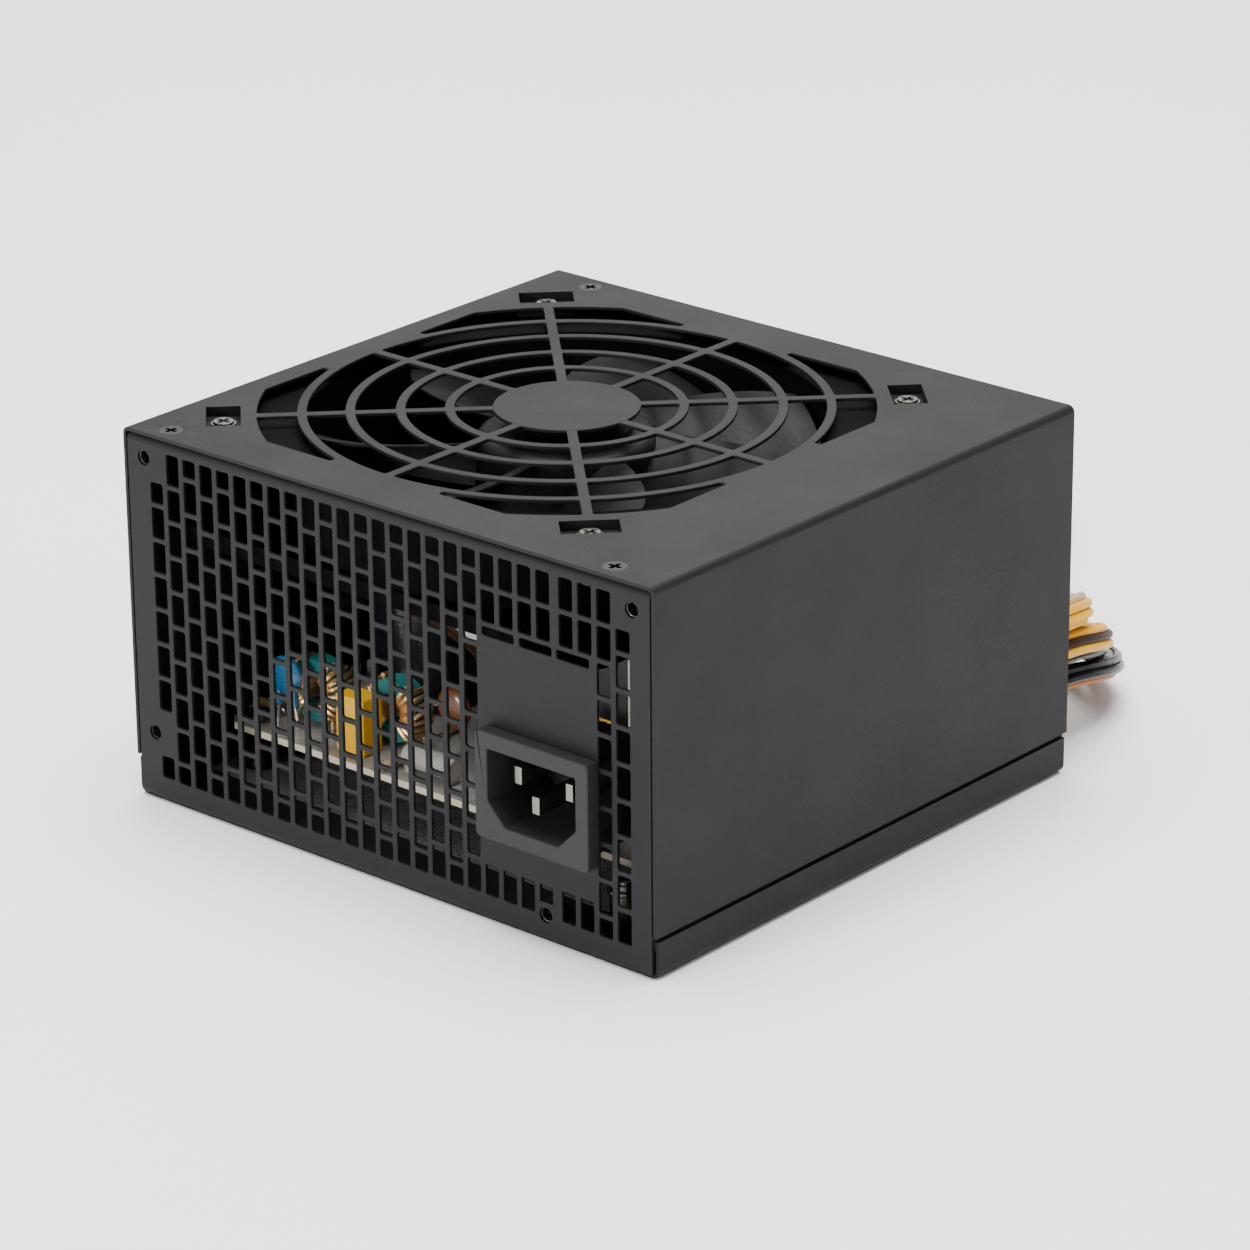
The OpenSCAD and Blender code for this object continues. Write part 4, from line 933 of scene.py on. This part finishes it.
def add_threads():
    """Bright thread crests in the case's mounting holes."""
    parts = []
    a = np.linspace(0, 2 * math.pi * THREAD_TURNS, THREAD_STEPS)
    for x, _, z in THREADED:
        p = np.stack([x + THREAD_R * np.cos(a), REAR + THREAD_DEPTH + THREAD_PITCH * a / (2 * math.pi),
                      z + THREAD_R * np.sin(a)], 1)
        parts.append((*tube(p * MM, CREST_R * MM, sides=6, up=(0, 1, 0)), 0))
    mesh_object("mount_threads", parts, ["silver_steel"])


def axial_part(x, y, along):
    """Resistor lying along X or Y: its leads and its body."""
    dx, dy = (0, 1) if along else (1, 0)

    def at(far, z):
        return (x + dx * far, y + dy * far, z)

    z = BOARD_TOP + AXIAL_UP
    lead = [at(-LEAD_END, BOARD_TOP), at(-LEAD_END, z - 0.3), at(-LEAD_BEND, z), at(0, z),
            at(LEAD_BEND, z), at(LEAD_END, z - 0.3), at(LEAD_END, BOARD_TOP)]
    body = np.array([at(far, z) for far in np.linspace(-AXIAL_HALF, AXIAL_HALF, len(BONE))])
    return [(*bar(lead, LEAD_WIRE, sides=6), 1), (*tube(body * MM, np.array(BONE) * MM, sides=14), 0)]


def upright_part(x, y, wide, high):
    """Block standing on the board on two leads."""
    low = BOARD_TOP + UPRIGHT_UP
    parts = [(*box((x - wide / 2, y - UPRIGHT_HALF, low), (x + wide / 2, y + UPRIGHT_HALF, low + high)), 2)]
    for side in (-1, 1):
        lead = [(x + side, y, BOARD_TOP), (x + side, y, BOARD_TOP + 1.4)]
        parts.append((*bar(lead, LEAD_WIRE, sides=6), 1))
    return parts


def add_small_parts():
    parts = [part for place in AXIAL for part in axial_part(*place)]
    parts += [part for place in UPRIGHT for part in upright_part(*place)]
    for _ in range(SOLDER_JOINTS):
        x, y = rng.uniform(*SOLDER_X), rng.uniform(*SOLDER_Y)
        parts.append((*lathe(SOLDER, (x, y, BOARD_LOW), n=10), 1))
    ob = mesh_object("board_small_parts", parts, ["resistor", "solder", "part_black"])
    add_bevel(ob, SMALL_EDGE, SMALL_EDGE_OVER)


# ---------- scene ----------

add_camera()
for cable in CABLES:
    add_cable(cable)
dress_nodes()
paint_board_rim_highlight()
for wall in WALLS:
    pressed(wall)
add_rotor()
add_windings()
add_discs()
add_cans()
add_threads()
add_small_parts()

add_floor()
add_sky()
for lamp in LAMPS:
    add_lamp(lamp)
